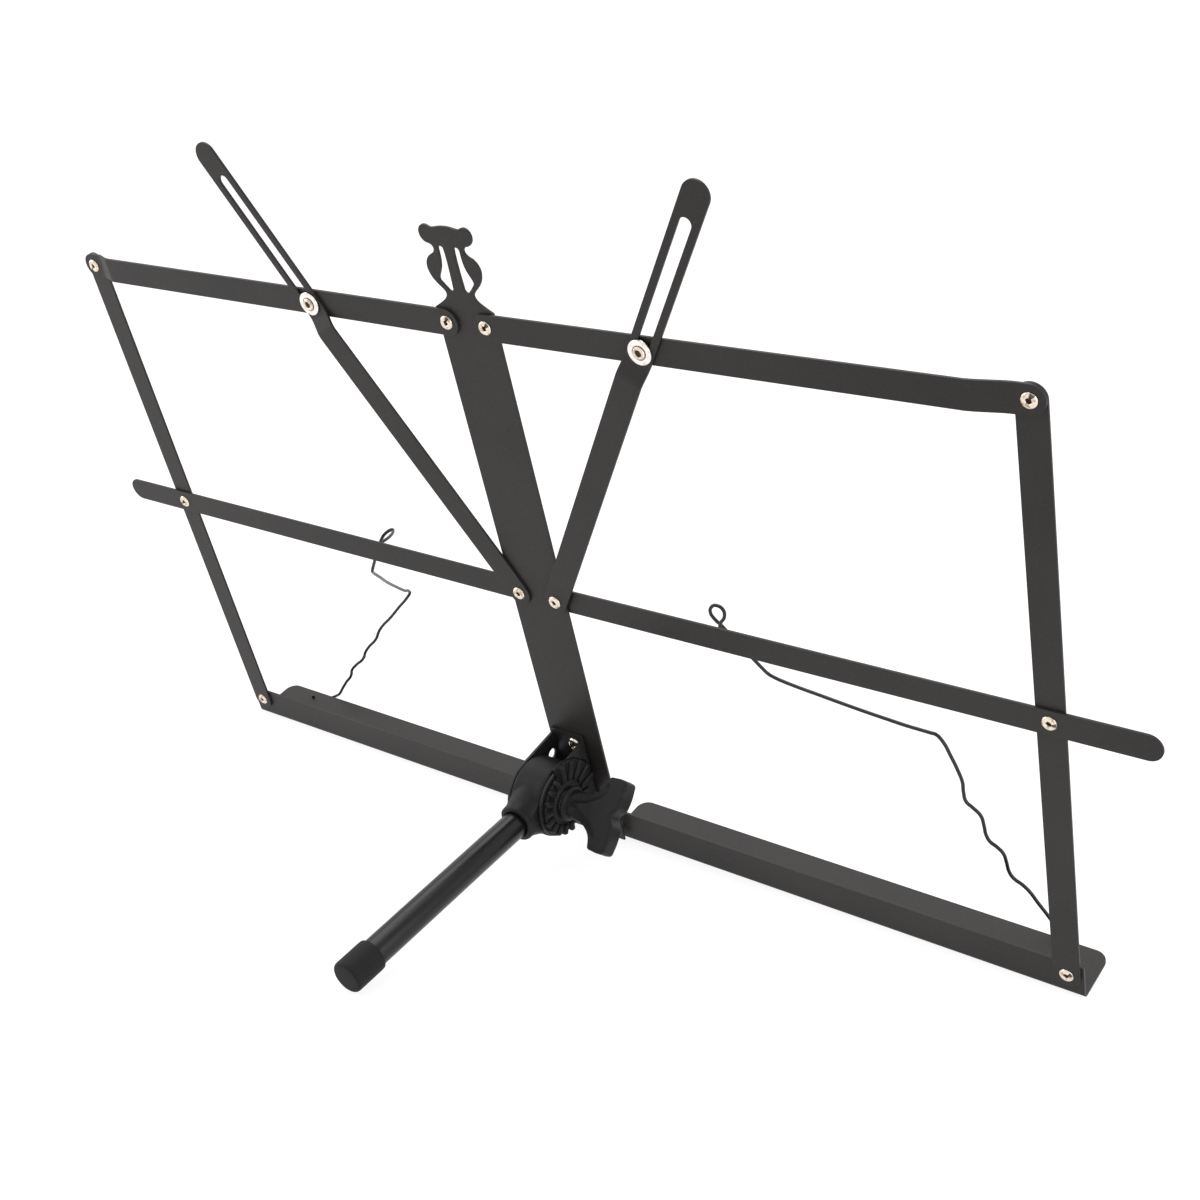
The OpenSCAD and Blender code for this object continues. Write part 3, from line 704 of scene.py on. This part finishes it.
def rivetShape(name, grip, head, split):
    # along z: rolled head under z = 0, closed head over z = grip
    sizes = rivetSizes
    high = sizes["headHeight"]
    bore = sizes["bore"]
    deep = min(sizes["boreDeep"], grip - 0.3)
    hollow = [(0, deep), (bore * 0.7, deep), (bore * 0.95, deep - 0.25), (bore, 0.2),
              (bore, -high * 0.35)]
    rolled = [(bore + 0.06, -high * 0.62), (bore + 0.2, -high * 0.85), (bore + 0.45, -high * 0.98),
              (bore + 0.75, -high), (head - 0.6, -high * 0.86), (head - 0.28, -high * 0.6),
              (head - 0.07, -high * 0.32), (head, -high * 0.1), (head - 0.06, 0)]
    shank = [(sizes["shank"], 0), (sizes["shank"], grip)]
    closed = [(head - 0.06, grip), (head, grip + 0.1), (head - 0.15, grip + 0.35),
              (head - 0.6, grip + 0.6), (head - 1.3, grip + 0.76), (0, grip + high)]
    rivet = turned(name, hollow + rolled + shank + closed, steps=72)

    def inNotch(p):
        onRim = p.z < -0.15 and bore + 0.03 < fromAxis(p) < head - 0.1
        return onRim and abs(aroundAxis(p)) < sizes["notch"]

    # the bore and the split's floor get painted shade
    def isDeep(p):
        notchFloor = (split and p.z > -0.36 and fromAxis(p) < head - 0.15
                      and abs(aroundAxis(p)) < sizes["notchDark"])
        return p.z < grip / 2 and (fromAxis(p) < bore + 0.02 or notchFloor)

    if split:
        # the split of the rolled rim, and the rim beside it pressed a little unevenly
        pick(rivet, "VERT", inNotch)
        bpy.ops.transform.translate(value=(0, 0, sizes["notchDeep"] * mm))
        for turn, push in sizes["dents"]:
            pick(rivet, "VERT",
                 lambda p: p.z < -0.4 and abs(aroundAxis(p) - turn) < sizes["dentWide"])
            bpy.ops.transform.translate(value=(0, 0, push * mm))
        bpy.ops.object.mode_set(mode="OBJECT")
    paintShadeIn(rivet, isDeep)
    smooth(rivet, angle=42)
    return rivet


def rivetPlace(side, x, z, front, turn):
    # z of the rivet goes toward the pages
    return deskPlace @ shiftBy(side * x, front, z) @ turnBy(-90, "X") @ turnBy(turn, "Z")


# x, z, front and back of what the rivet holds, and whether its rim is split
pivots = {
    "top": (desk["centreHalf"], desk["upperRise"], -1.10, 1.0, True),
    "middle": (desk["centreHalf"], 0, -1.10, 2.10, False),
    "tray": (desk["centreHalf"], -desk["trayDrop"], 0, 4.20, True),
    "corner": (desk["centreHalf"] + slopeX, desk["upperRise"] + slopeZ, 1.0, 3.10, True),
    "side": (desk["centreHalf"] + slopeX, slopeZ, 1.0, 3.10, True),
    "tray_end": (desk["centreHalf"] + slopeX, slopeZ - desk["trayDrop"], 2.10, 4.20, True),
}
# degrees, left and right
rivetTurns = {"top": (300, 318), "middle": (0, 0), "tray": (40, 80), "corner": (120, -60),
              "side": (150, 0), "tray_end": (200, -35)}


def buildRivets():
    for kind, (x, z, front, back, split) in pivots.items():
        first = rivetShape(kind, back - front, rivetSizes["head"], split)
        for (side, label), turn in zip(sides, rivetTurns[kind]):
            node = kind + "_rivet_" + label
            piece = first if side > 0 else copyOf(first, "copy")
            piece.name = kind.replace("_e", "E") + "Rivet" + label.title()
            placeBy(piece, rivetPlace(side, x, z, front, turn))
            dress(piece, finishes["nickel"], node)
    sizes = rivetSizes
    upper = rivetShape("bracketRivetUpper", sizes["bracketGrip"], sizes["bracketHead"], True)
    lower = copyOf(upper, "bracketRivetLower")
    for piece, height, turn, node in zip(
            (upper, lower), spineSizes["bracketRivets"], sizes["bracketTurns"],
            ("bracket_rivet_upper", "bracket_rivet_lower")):
        placeBy(piece, rivetPlace(1, 0, height, sizes["bracketFront"], turn))
        dress(piece, finishes["nickel"], node)
    print("rivets done")


slideSizes = {
    "washerHole": 1.5,
    "washerRadius": 4.5,
    "washerThick": 0.8,
    "washerFront": -2.95,
    "washerEdge": 0.3,
    "pinHead": 2.65,
    "pinShank": 1.5,
    "rearFrom": 1.9,  # the closed head behind the bar, from the washer's front
    "postRadius": 0.6,
    "postOffset": (-1.299, 0.75),
    "postFrom": 0.5,
    "postTo": 2.2,
    "bushRadius": 3,
    "bushLong": 2.1,
    "bushFront": 1.0,
    "bushEdge": 0.2,
}


def flatRing(name, inner, outer, thick, edge, steps=56):
    # a punched ring from z = 0 to thick, with rolled outer edges
    profile = [(inner, 0), (outer, 0), (outer, thick), (inner, thick)]
    profile = roundedAll(profile, {1: edge, 2: edge * 0.8}, steps=3)
    ringPiece = turned(name, profile + [profile[0]], steps)
    smooth(ringPiece, angle=40)
    return ringPiece


def slidePin(name):
    # rolled head and short seat, and the closed head behind the bar
    sizes = slideSizes
    high = rivetSizes["headHeight"]
    head = sizes["pinHead"]
    shank = sizes["pinShank"]
    seat = sizes["washerThick"]
    back = sizes["rearFrom"]
    front = turned(name, [
        (0, 0.5), (0.9, 0.5), (1.1, 0.3), (1.15, -high * 0.5), (1.25, -high * 0.8), (1.45, -high),
        (1.75, -high * 0.97), (2.1, -high * 0.75), (2.3, -high * 0.4), (2.36, -0.2),
        (head - 0.04, -0.14), (head - 0.04, 0), (shank, 0), (shank, seat), (0, seat)])
    # painted shade in the bore and in the groove round the head's outer edge
    paintShadeIn(front, lambda p: fromAxis(p) < 1.17 or (p.z > -0.25 and fromAxis(p) > 2.3))
    rear = turned("rear", [
        (0, back), (shank, back), (shank, back + 1), (head - 0.06, back + 1), (head, back + 1.1),
        (head - 0.15, back + 1.35), (head - 0.6, back + 1.6), (head - 1.3, back + 1.76),
        (0, back + 1.8)])
    paintShadeIn(rear, lambda p: False)
    return joined([front, rear], name)


def buildSlides():
    sizes = slideSizes
    offsetX, offsetZ = sizes["postOffset"]
    x = desk["centreHalf"] + pinX
    for side, label in sides:
        washer = flatRing("slideWasher" + label.title(), sizes["washerHole"], sizes["washerRadius"],
                          sizes["washerThick"], sizes["washerEdge"])
        placeBy(washer, rivetPlace(side, x, pinZ, sizes["washerFront"], 0))
        dress(washer, finishes["washer"], "slide_washer_" + label)
        pin = slidePin("slidePin" + label.title())
        placeBy(pin, rivetPlace(side, x, pinZ, sizes["washerFront"], 0))
        # the thin post through the slot stands beside the pin's middle
        thin, start, end = sizes["postRadius"], sizes["postFrom"], sizes["postTo"]
        post = turned("post", [(0, start), (thin, start), (thin, end), (0, end)], steps=24)
        paintShadeIn(post, lambda p: False)
        placeBy(post, rivetPlace(side, x + offsetX, pinZ + offsetZ, sizes["washerFront"], 0))
        pin = joined([pin, post], "slidePin" + label.title())
        smooth(pin, angle=48)
        dress(pin, finishes["nickel"], "slide_pin_" + label)
        bush = flatRing("trayBush" + label.title(), rivetSizes["shank"], sizes["bushRadius"],
                        sizes["bushLong"], sizes["bushEdge"], steps=40)
        placeBy(bush, rivetPlace(side, desk["centreHalf"], -desk["trayDrop"],
                                 sizes["bushFront"], 0))
        dress(bush, finishes["zinc"], "tray_bush_" + label)
    print("pins and washers done")


buildRivets()
buildSlides()


# leg clamp
clampSizes = {
    "boltHole": 2.55,
    "x": 5.3,
    "thick": 2.2,
    "radius": 13.7,
    "boss": 7.5,  # the raised middle under the washer
    "sink": 0.7,  # how deep the floor between the ribs lies under it
    "fanFrom": 8,
    "fanRadius": 17.8,
    "fanStart": 96,  # degrees, the spin runs clockwise from here
    "fanSweep": 102,
    "fanSteps": 28,
    "ribs": 18,
    "ribStart": 5,  # degrees, so that five ribs share the fan evenly
    "ribFrom": 9.2,
    "ribHigh": 0.8,
    "ribDeep": 2.6,
    "ribWide": 2.35,
    "ribRound": 0.9,
    "voxel": 0.22,
}
# z of the disc goes along the bolt
cheekTurn = Matrix(((0, 0, 1, 0), (1, 0, 0, 0), (0, 1, 0, 0), (0, 0, 0, 1)))


def clampDisc():
    sizes = clampSizes
    hole, boss, thick = sizes["boltHole"], sizes["boss"], sizes["thick"]
    low = thick - sizes["sink"]
    rim = sizes["radius"] - 0.7
    profile = [(hole, 0), (rim, 0), (rim, low), (boss + 0.8, low), (boss, thick), (hole, thick),
               (hole, 0)]
    return turned("clampCheek", roundedAll(profile, {1: 0.3, 2: 0.4}, steps=3), steps=96)


def clampFan():
    # the wider part toward the spine: a quarter of a larger ring
    sizes = clampSizes
    inner = sizes["fanFrom"]
    reach = sizes["fanRadius"] - 0.3
    low = sizes["thick"] - sizes["sink"]
    start = math.radians(sizes["fanStart"])
    fan = startPoint("fan", inner * math.cos(start), inner * math.sin(start), 0)
    for out, up in ((reach - inner, 0), (0.3, 0.3), (0, low - 0.7), (-0.4, 0.4),
                    (inner - reach + 0.1, 0), (0, -low)):
        extrudeBy(out * math.cos(start), out * math.sin(start), up)
    weldAll()
    bpy.ops.mesh.select_all(action="SELECT")
    bpy.ops.mesh.spin(steps=sizes["fanSteps"], angle=math.radians(sizes["fanSweep"]),
                      center=(0, 0, 0), axis=(0, 0, 1))
    weldAll()
    # both ends are still open
    editAll(fan, "EDGE")
    bpy.ops.mesh.select_all(action="DESELECT")
    bpy.ops.mesh.select_non_manifold()
    bpy.ops.mesh.edge_face_add()
    bpy.ops.object.mode_set(mode="OBJECT")
    finishMesh(fan)
    return fan


def clampRib(end):
    # one rib along x, from ribFrom to end, with a round back
    sizes = clampSizes
    start, deep = sizes["ribFrom"], sizes["ribDeep"]
    middle = ((end + start) / 2, 0, sizes["thick"] + sizes["ribHigh"] - deep / 2)
    rib = boxOf(end - start, sizes["ribWide"], deep, middle)
    modify(rib, "BEVEL", width=sizes["ribRound"] * mm, segments=4, limit_method="ANGLE")
    return rib


def buildCheek():
    sizes = clampSizes
    disc = clampDisc()
    fan = clampFan()
    longRib = clampRib(sizes["fanRadius"] - 0.1)
    shortRib = clampRib(sizes["radius"])
    ribs = []
    for k in range(sizes["ribs"]):
        angle = 360 / sizes["ribs"] * k + sizes["ribStart"]
        onFan = sizes["fanStart"] - sizes["fanSweep"] < angle < sizes["fanStart"]
        rib = copyOf(longRib if onFan else shortRib, "rib")
        placeBy(rib, turnBy(angle, "Z"))
        ribs.append(rib)
    bpy.data.objects.remove(longRib)
    bpy.data.objects.remove(shortRib)
    cheek = joined([disc, fan] + ribs, "clampCheek")
    modify(cheek, "REMESH", mode="VOXEL", voxel_size=sizes["voxel"] * mm)
    modify(cheek, "SMOOTH", factor=0.5, iterations=3)
    placeBy(cheek, boltPlace @ shiftBy(sizes["x"], 0, 0) @ cheekTurn)
    smooth(cheek, angle=60)
    dress(cheek, finishes["plastic"], "clamp_cheek")
    print("clamp plate:", len(cheek.data.polygons), "faces")


knobSizes = {
    "x": 8.6,
    "turn": -51,  # degrees about the bolt
    "length": 24.5,
    # radius and height along the bolt, from the collar to the bottom of the bolt's hole
    "hub": [(7.2, 0), (7.2, 1.3), (5.9, 1.6), (5.7, 4.5), (6.2, 8.5), (4.5, 12), (0, 13), (0, 11)],
    "hubHole": 11,
    "span": 14.8,
    "thick": 8,
    "lobe": 8.4,  # length of a lobe along the bolt
    "edge": 0.9,
    "hollowRadius": 7,
    "hollowScale": (1.3, 0.42, 0.6),
    "hollowTilt": -32,
    "hollowPlace": (11.4, 5.5, 7),
    "voxel": 0.3,
}


def knobHub():
    sizes = knobSizes
    hole = clampSizes["boltHole"]
    profile = [(hole, 0)] + sizes["hub"] + [(hole, sizes["hubHole"]), (hole, 0)]
    hub = turned("wingKnob", roundedAll(profile, {1: 0.35, 2: 0.5}, steps=3), steps=64)
    placeBy(hub, turnBy(90, "Y"))
    return hub


def knobWing():
    sizes = knobSizes
    end, span = sizes["length"], sizes["span"]
    lobeFrom = end - sizes["lobe"]
    half = [
        (2.2, 4.9, "corner"), (6.4, 5.2), (9.6, 6.2), (12.6, 8.1), (lobeFrom - 1.2, 10.6),
        (lobeFrom - 0.3, 12.4), (lobeFrom, 13.7), (lobeFrom + 0.6, span - 0.2),
        (lobeFrom + 1.8, span), (end - 1.4, span), (end - 0.3, span - 0.6), (end, span - 1.8),
        (end, 4.6), (end - 0.6, 2.9), (end - 1.9, 1.4)]
    outline = half + [(end - 2.4, 0)] + [(x, -y, *corner) for x, y, *corner in reversed(half)]
    wing = flatCurve("wing", [outline], sizes["thick"], sizes["edge"])
    # lies in x and y: stand it up so that the span is along z
    placeBy(wing, turnBy(90, "X"))
    return wing


def knobHollows():
    # what is cut from both faces of the web between the hub and the lobes
    sizes = knobSizes
    x, y, z = sizes["hollowPlace"]
    balls = []
    for face in (1, -1):
        for side in (1, -1):
            clearSelection()
            bpy.ops.mesh.primitive_uv_sphere_add(segments=32, ring_count=16,
                                                 radius=sizes["hollowRadius"] * mm)
            ball = bpy.context.object
            ball.scale = sizes["hollowScale"]
            ball.rotation_euler = (0, side * math.radians(sizes["hollowTilt"]), 0)
            ball.location = (x * mm, face * y * mm, side * z * mm)
            bpy.ops.object.transform_apply(location=True, rotation=True, scale=True)
            balls.append(ball)
    return joined(balls, "hollows")


def buildKnob():
    sizes = knobSizes
    hub, wing, hollows = knobHub(), knobWing(), knobHollows()
    knob = joined([hub, wing], "wingKnob")
    modify(knob, "REMESH", mode="VOXEL", voxel_size=sizes["voxel"] * mm)
    cutBy(knob, hollows)
    modify(knob, "REMESH", mode="VOXEL", voxel_size=sizes["voxel"] * mm)
    modify(knob, "SMOOTH", factor=0.5, iterations=5)
    placeBy(knob, boltPlace @ shiftBy(sizes["x"], 0, 0) @ turnBy(sizes["turn"], "X"))
    smooth(knob, angle=70)
    dress(knob, finishes["plastic"], "wing_knob")
    print("knob:", len(knob.data.polygons), "faces")


boltSizes = {
    "leftEar": -11.3,
    "radius": 2.5,
    "long": 30,
    "tip": 0.4,  # chamfer of its end
    "headFlat": 8,
    "headHigh": 3.5,
    "headBevel": 0.12,
    "washerX": 7.5,
    "washerRadius": 6,
    "washerThick": 1,
    "washerEdge": 0.25,
}


def buildBolt():
    sizes = boltSizes
    radius, high = sizes["radius"], sizes["headHigh"]
    corner = sizes["headFlat"] / 2 / math.cos(math.radians(30))
    clearSelection()
    bpy.ops.mesh.primitive_cylinder_add(vertices=6, radius=corner * mm, depth=high * mm)
    head = bpy.context.object
    # the chamfer of the head: the hexagon is cut by a turned cap
    cap = turned("cap", [(0, -3), (corner * 1.2, -3), (corner * 1.2, high / 2 - 0.4),
                         (corner * 0.86, high / 2), (0, high / 2)])
    modify(head, "BEVEL", width=sizes["headBevel"] * mm, segments=2, limit_method="ANGLE")
    cutBy(head, cap, keep="INTERSECT")
    placeBy(head, shiftBy(0, 0, high / 2))
    shank = turned("shank", [
        (0, -sizes["long"]), (radius - sizes["tip"], -sizes["long"]),
        (radius, sizes["tip"] - sizes["long"]), (radius, 0.6), (0, 0.6)], steps=32)
    bolt = joined([head, shank], "clampBolt")
    placeBy(bolt, boltPlace @ shiftBy(sizes["leftEar"], 0, 0) @ turnBy(-90, "Y"))
    smooth(bolt, angle=30)
    dress(bolt, finishes["zinc"], "clamp_bolt")
    washer = flatRing("clampWasher", clampSizes["boltHole"], sizes["washerRadius"],
                      sizes["washerThick"], sizes["washerEdge"])
    placeBy(washer, boltPlace @ shiftBy(sizes["washerX"], 0, 0) @ turnBy(90, "Y"))
    dress(washer, finishes["zinc"], "clamp_washer")
    print("bolt and washer done")


buildCheek()
buildKnob()
buildBolt()


# leg
legSizes = {
    "offset": -3,
    "angle": 4.5,  # degrees under the desk's own level
    "barrel": 15,
    "width": 14,
    "socketEdge": 0.9,
    # radius and height of the sleeve, from the bolt out to its mouth
    "sleeve": [(0, 0), (13.6, 0), (13.6, 6.3), (11.2, 10.2), (9.4, 13.6), (8.1, 16.6), (7.8, 18.2),
               (7.8, 20.5), (0, 20.5)],
    "mouthEdge": 1.1,
    "lead": 0.6,  # how much wider than the tube the mouth opens
    "leadFrom": 19.7,
    "leadTo": 20.9,
    "voxel": 0.34,
    "tube": 5.5,
    "tubeWall": 1,
    "tubeFrom": 9.5,
    "tubeTo": 112,
    "footFrom": 103,
    "footTo": 117,
    "footRadius": 6.5,
}
legPlace = boltPlace @ shiftBy(legSizes["offset"], 0, 0) @ turnBy(90 - legSizes["angle"], "X")


def buildSocket():
    sizes = legSizes
    half, outer = sizes["width"] / 2, sizes["barrel"]
    profile = [(0, -half), (outer, -half), (outer, half), (0, half)]
    edge = sizes["socketEdge"]
    barrel = turned("legSocket", roundedAll(profile, {1: edge, 2: edge}), steps=96)
    placeBy(barrel, turnBy(90, "Y"))
    profile = roundedAll(sizes["sleeve"], {7: sizes["mouthEdge"]})
    sleeve = turned("sleeve", profile, steps=96)
    # both cheeks of the sleeve are flush with the flat sides of the barrel
    cutBy(sleeve, boxOf(sizes["width"], 60, 80), keep="INTERSECT")
    socket = joined([barrel, sleeve], "legSocket")
    modify(socket, "REMESH", mode="VOXEL", voxel_size=sizes["voxel"] * mm)
    modify(socket, "SMOOTH", factor=0.5, iterations=8)
    tube, lead = sizes["tube"], sizes["tube"] + sizes["lead"]
    start, past = sizes["tubeFrom"], 23.5  # the cutters end outside the socket
    cutBy(socket, turned("hole", [
        (0, start), (tube, start), (tube, sizes["leadFrom"]), (lead, sizes["leadTo"]),
        (lead, past), (0, past)], steps=64))
    hole = clampSizes["boltHole"]
    bore = turned("bore", [(0, -20), (hole, -20), (hole, 20), (0, 20)])
    placeBy(bore, turnBy(90, "Y"))
    cutBy(socket, bore)
    placeBy(socket, legPlace)
    smooth(socket, angle=50)
    dress(socket, finishes["plastic"], "leg_socket")
    print("socket:", len(socket.data.polygons), "faces")


def buildTube():
    sizes = legSizes
    outer, inner = sizes["tube"], sizes["tube"] - sizes["tubeWall"]
    start, end = sizes["tubeFrom"], sizes["tubeTo"]
    profile = [(inner, start), (outer, start), (outer, end), (inner, end), (inner, start)]
    tube = turned("legTube", roundedAll(profile, {1: 0.2, 2: 0.2}, steps=3), steps=72)
    smooth(tube, angle=40)
    placeBy(tube, legPlace)
    dress(tube, finishes["tube"], "leg_tube")
    wide, rim, sole = sizes["footRadius"], sizes["footFrom"], sizes["footTo"]
    profile = [(outer, rim), (wide - 0.1, rim), (wide, rim + 1.2), (wide, sole), (0, sole),
               (0, end), (outer, end), (outer, rim)]
    foot = turned("rubberFoot", roundedAll(profile, {1: 0.35, 3: 1.5}, steps=6), steps=72)
    smooth(foot, angle=50)
    placeBy(foot, legPlace)
    dress(foot, finishes["rubber"], "rubber_foot")
    print("tube and foot done")


buildSocket()
buildTube()


# page wires
wireSizes = {
    "diameter": 1.38,
    "inFromPivot": 13,
    "backY": 20.75,
    "shelfTop": -121.5,
    "under": -2.1,  # middle of the wire under the shelf
}
under = wireSizes["under"]
# from the pivot hole in the shelf: inward, back, up
wireRoutes = {
    "right": [
        (0, 0, 1.5), (0, 0, 0.5), (0, 0, -0.7), (0, 0.3, -1.6), (0.1, 1.1, -2.15),
        (0.3, 2.6, under - 0.2), (0.9, 4.8, under), (1.1, 5.8, under + 1.2), (1.6, 6.3, 1.6),
        (4.6, 6.7, 6), (9, 6.9, 11.9), (11.8, 6.9, 16), (14.2, 6.9, 18.2), (17.7, 7, 20.1),
        (19.3, 7, 22.7), (20.1, 7.1, 26.9), (21.1, 7.1, 31), (23.6, 7.2, 33.3), (26, 7.2, 34.8),
        (27.4, 7.3, 37.5), (27.9, 7.3, 41.8), (28.9, 7.4, 46.2), (31.7, 7.4, 48.9),
        (34.2, 7.5, 50.8), (34.9, 7.5, 54.9), (35, 7.6, 59.8), (36.2, 7.6, 64.3),
        (38.7, 7.7, 70.8), (41.3, 7.7, 76.6), (43.7, 7.8, 78.8), (45.6, 7.6, 79.1),
        (55.4, 7.5, 79.5), (61.8, 7.4, 80.1), (73.3, 7.2, 81.3), (89.4, 7.1, 83.2),
        (102.6, 7, 84.9), (109.1, 6.9, 86.3), (111.2, 6.8, 87.3), (112.8, 6.2, 89.7),
        (114.9, 5.8, 92.5), (124.8, 5.2, 103.7), (127.1, 5.1, 106.4), (129.6, 4.9, 108.9),
        (130.8, 4.6, 111.6), (129.9, 4.4, 114.6), (127.1, 4.2, 116.3), (124.1, 3.8, 115.4),
        (123.8, 3.4, 112.5), (125.8, 2.9, 109.3), (126.3, 2.4, 106.5),
    ],
    "left": [
        (0, 0, 1.5), (0, 0, 0.5), (0, 0, -0.7), (0.3, 0.3, -1.6), (1, 1, -2.15),
        (2.6, 2.6, under - 0.2), (6.6, 5.6, under), (9.2, 7.1, under + 1), (10.8, 7.4, 0),
        (14.1, 8.4, 4.3), (17.2, 9.2, 8.1), (21.1, 10.4, 12.8), (20.7, 11.6, 14.1),
        (23.1, 12.8, 16.9), (30.2, 14, 23.3), (30.1, 15.2, 24.5), (31.9, 16.4, 27.2),
        (39.1, 17.6, 34.3), (40.4, 18.8, 37.2), (41.7, 20, 39.3), (49.2, 21.2, 46.3),
        (56.2, 22.4, 53.4), (62.8, 23.6, 60), (63.6, 24.8, 61.5), (63.8, 24.5, 62.6),
        (66.2, 20.2, 66.5), (70.4, 12.8, 74.5), (76.1, 4.2, 84), (82.4, -3.8, 93.5),
        (87.6, -10.8, 102), (89.5, -12.3, 104.2), (91.4, -12.2, 107.5), (99, -12.1, 119.3),
        (100.6, -11.9, 121.7), (103.3, -11.4, 124.9), (105.5, -10.6, 126.5), (105.8, -9.2, 126.3),
        (104.3, -7.6, 124), (101.2, -6.6, 121), (96.9, -6.3, 117.7), (94.4, -6.9, 116.2),
    ],
}


def buildWires():
    sizes = wireSizes
    for side, label in sides:
        pivotX = desk["centreHalf"] + slopeX - sizes["inFromPivot"]
        points = [(side * (pivotX - inward), sizes["backY"] + back, sizes["shelfTop"] + up)
                  for inward, back, up in wireRoutes[label]]
        wire = wireOf("pageWire" + label.title(), points, sizes["diameter"])
        placeBy(wire, deskPlace)
        dress(wire, finishes["wire"], "page_wire_" + label)
    print("page wires done")


buildWires()


# studio
studio = {
    "floorHalf": 24.0,
    "floorColour": (0.88, 0.88, 0.88, 1),
    "floorGlow": 1.22,
    "floorShare": 0.7,  # of the glow in what the camera sees, the rest keeps the shadow
    "worldDiffuse": 0.68,
    "worldSeen": 1.0,
    "lamps": [
        # name, place, aim, size, power
        ("keyLamp", (-1.0, -0.3, 0.5), (-0.15, 0, 0.12), 0.8, 4.5),
        ("topLamp", (-0.45, 0.35, 1.5), (-0.1, 0, 0.1), 1.3, 14),
        ("sideLamp", (1.0, -0.1, 0.35), (0, -0.03, 0.05), 0.7, 3.0),
    ],
    "cameraPlace": (0.39138937, -0.43930941, 0.34978426),
    "cameraTurn": (68.7194634, 1.45051839, 37.4607161),  # degrees
    "cameraSensor": 36,
    "cameraLens": 51.72,
    "cameraShift": (0.00125, 0.00117),
    "cameraNear": 0.01,
}


def emptyNodes(owner):
    # the nodes of a material or world, with none in it yet
    owner.use_nodes = True
    owner.node_tree.nodes.clear()
    return Nodes(owner.node_tree)


def raysOf(nodes, *kinds):
    # 1 for light rays of these kinds, and 0 for all others
    path = nodes.add("ShaderNodeLightPath")
    rays, *others = [Signal(nodes, path.outputs[kind]) for kind in kinds]
    for other in others:
        rays = rays.work("MAXIMUM", rays, other)
    return rays


def buildFloor():
    clearSelection()
    bpy.ops.mesh.primitive_plane_add(size=2 * studio["floorHalf"], location=(0, 0, 0))
    floor = bpy.context.object
    floor.name = "floor"
    material = bpy.data.materials.new("paleFloor")
    nodes = emptyNodes(material)
    matte = nodes.take("ShaderNodeBsdfDiffuse", None, {"Color": studio["floorColour"]})
    glow = nodes.take("ShaderNodeEmission", None, {"Strength": studio["floorGlow"]})
    seen = raysOf(nodes, "Is Camera Ray", "Is Glossy Ray") * studio["floorShare"]
    blend = nodes.take("ShaderNodeMixShader", None, {0: seen, 1: matte, 2: glow})
    nodes.add("ShaderNodeOutputMaterial", None, {"Surface": blend})
    floor.data.materials.append(material)


def buildWorld():
    world = bpy.data.worlds.new("studioWorld")
    bpy.context.scene.world = world
    nodes = emptyNodes(world)
    soft, white = [
        nodes.take("ShaderNodeBackground", None, {"Color": (1, 1, 1, 1), "Strength": strength})
        for strength in (studio["worldDiffuse"], studio["worldSeen"])]
    seen = raysOf(nodes, "Is Camera Ray", "Is Glossy Ray", "Is Transmission Ray")
    blend = nodes.take("ShaderNodeMixShader", None, {0: seen, 1: soft, 2: white})
    nodes.add("ShaderNodeOutputWorld", None, {"Surface": blend})


def buildLamps():
    for name, place, aim, size, power in studio["lamps"]:
        clearSelection()
        bpy.ops.object.light_add(type="AREA", location=place)
        lamp = bpy.context.object
        lamp.name = name
        lamp.data.size = size
        lamp.data.energy = power
        toward = Vector(aim) - Vector(place)
        lamp.rotation_euler = toward.to_track_quat("-Z", "Y").to_euler()


def buildCamera():
    clearSelection()
    turn = [math.radians(angle) for angle in studio["cameraTurn"]]
    bpy.ops.object.camera_add(location=studio["cameraPlace"], rotation=turn)
    camera = bpy.context.object
    camera.data.sensor_width = studio["cameraSensor"]
    camera.data.lens = studio["cameraLens"]
    camera.data.shift_x, camera.data.shift_y = studio["cameraShift"]
    camera.data.clip_start = studio["cameraNear"]
    bpy.context.scene.camera = camera


buildFloor()
buildWorld()
buildLamps()
buildCamera()
bpy.context.scene.view_settings.view_transform = "Standard"
print("studio done")
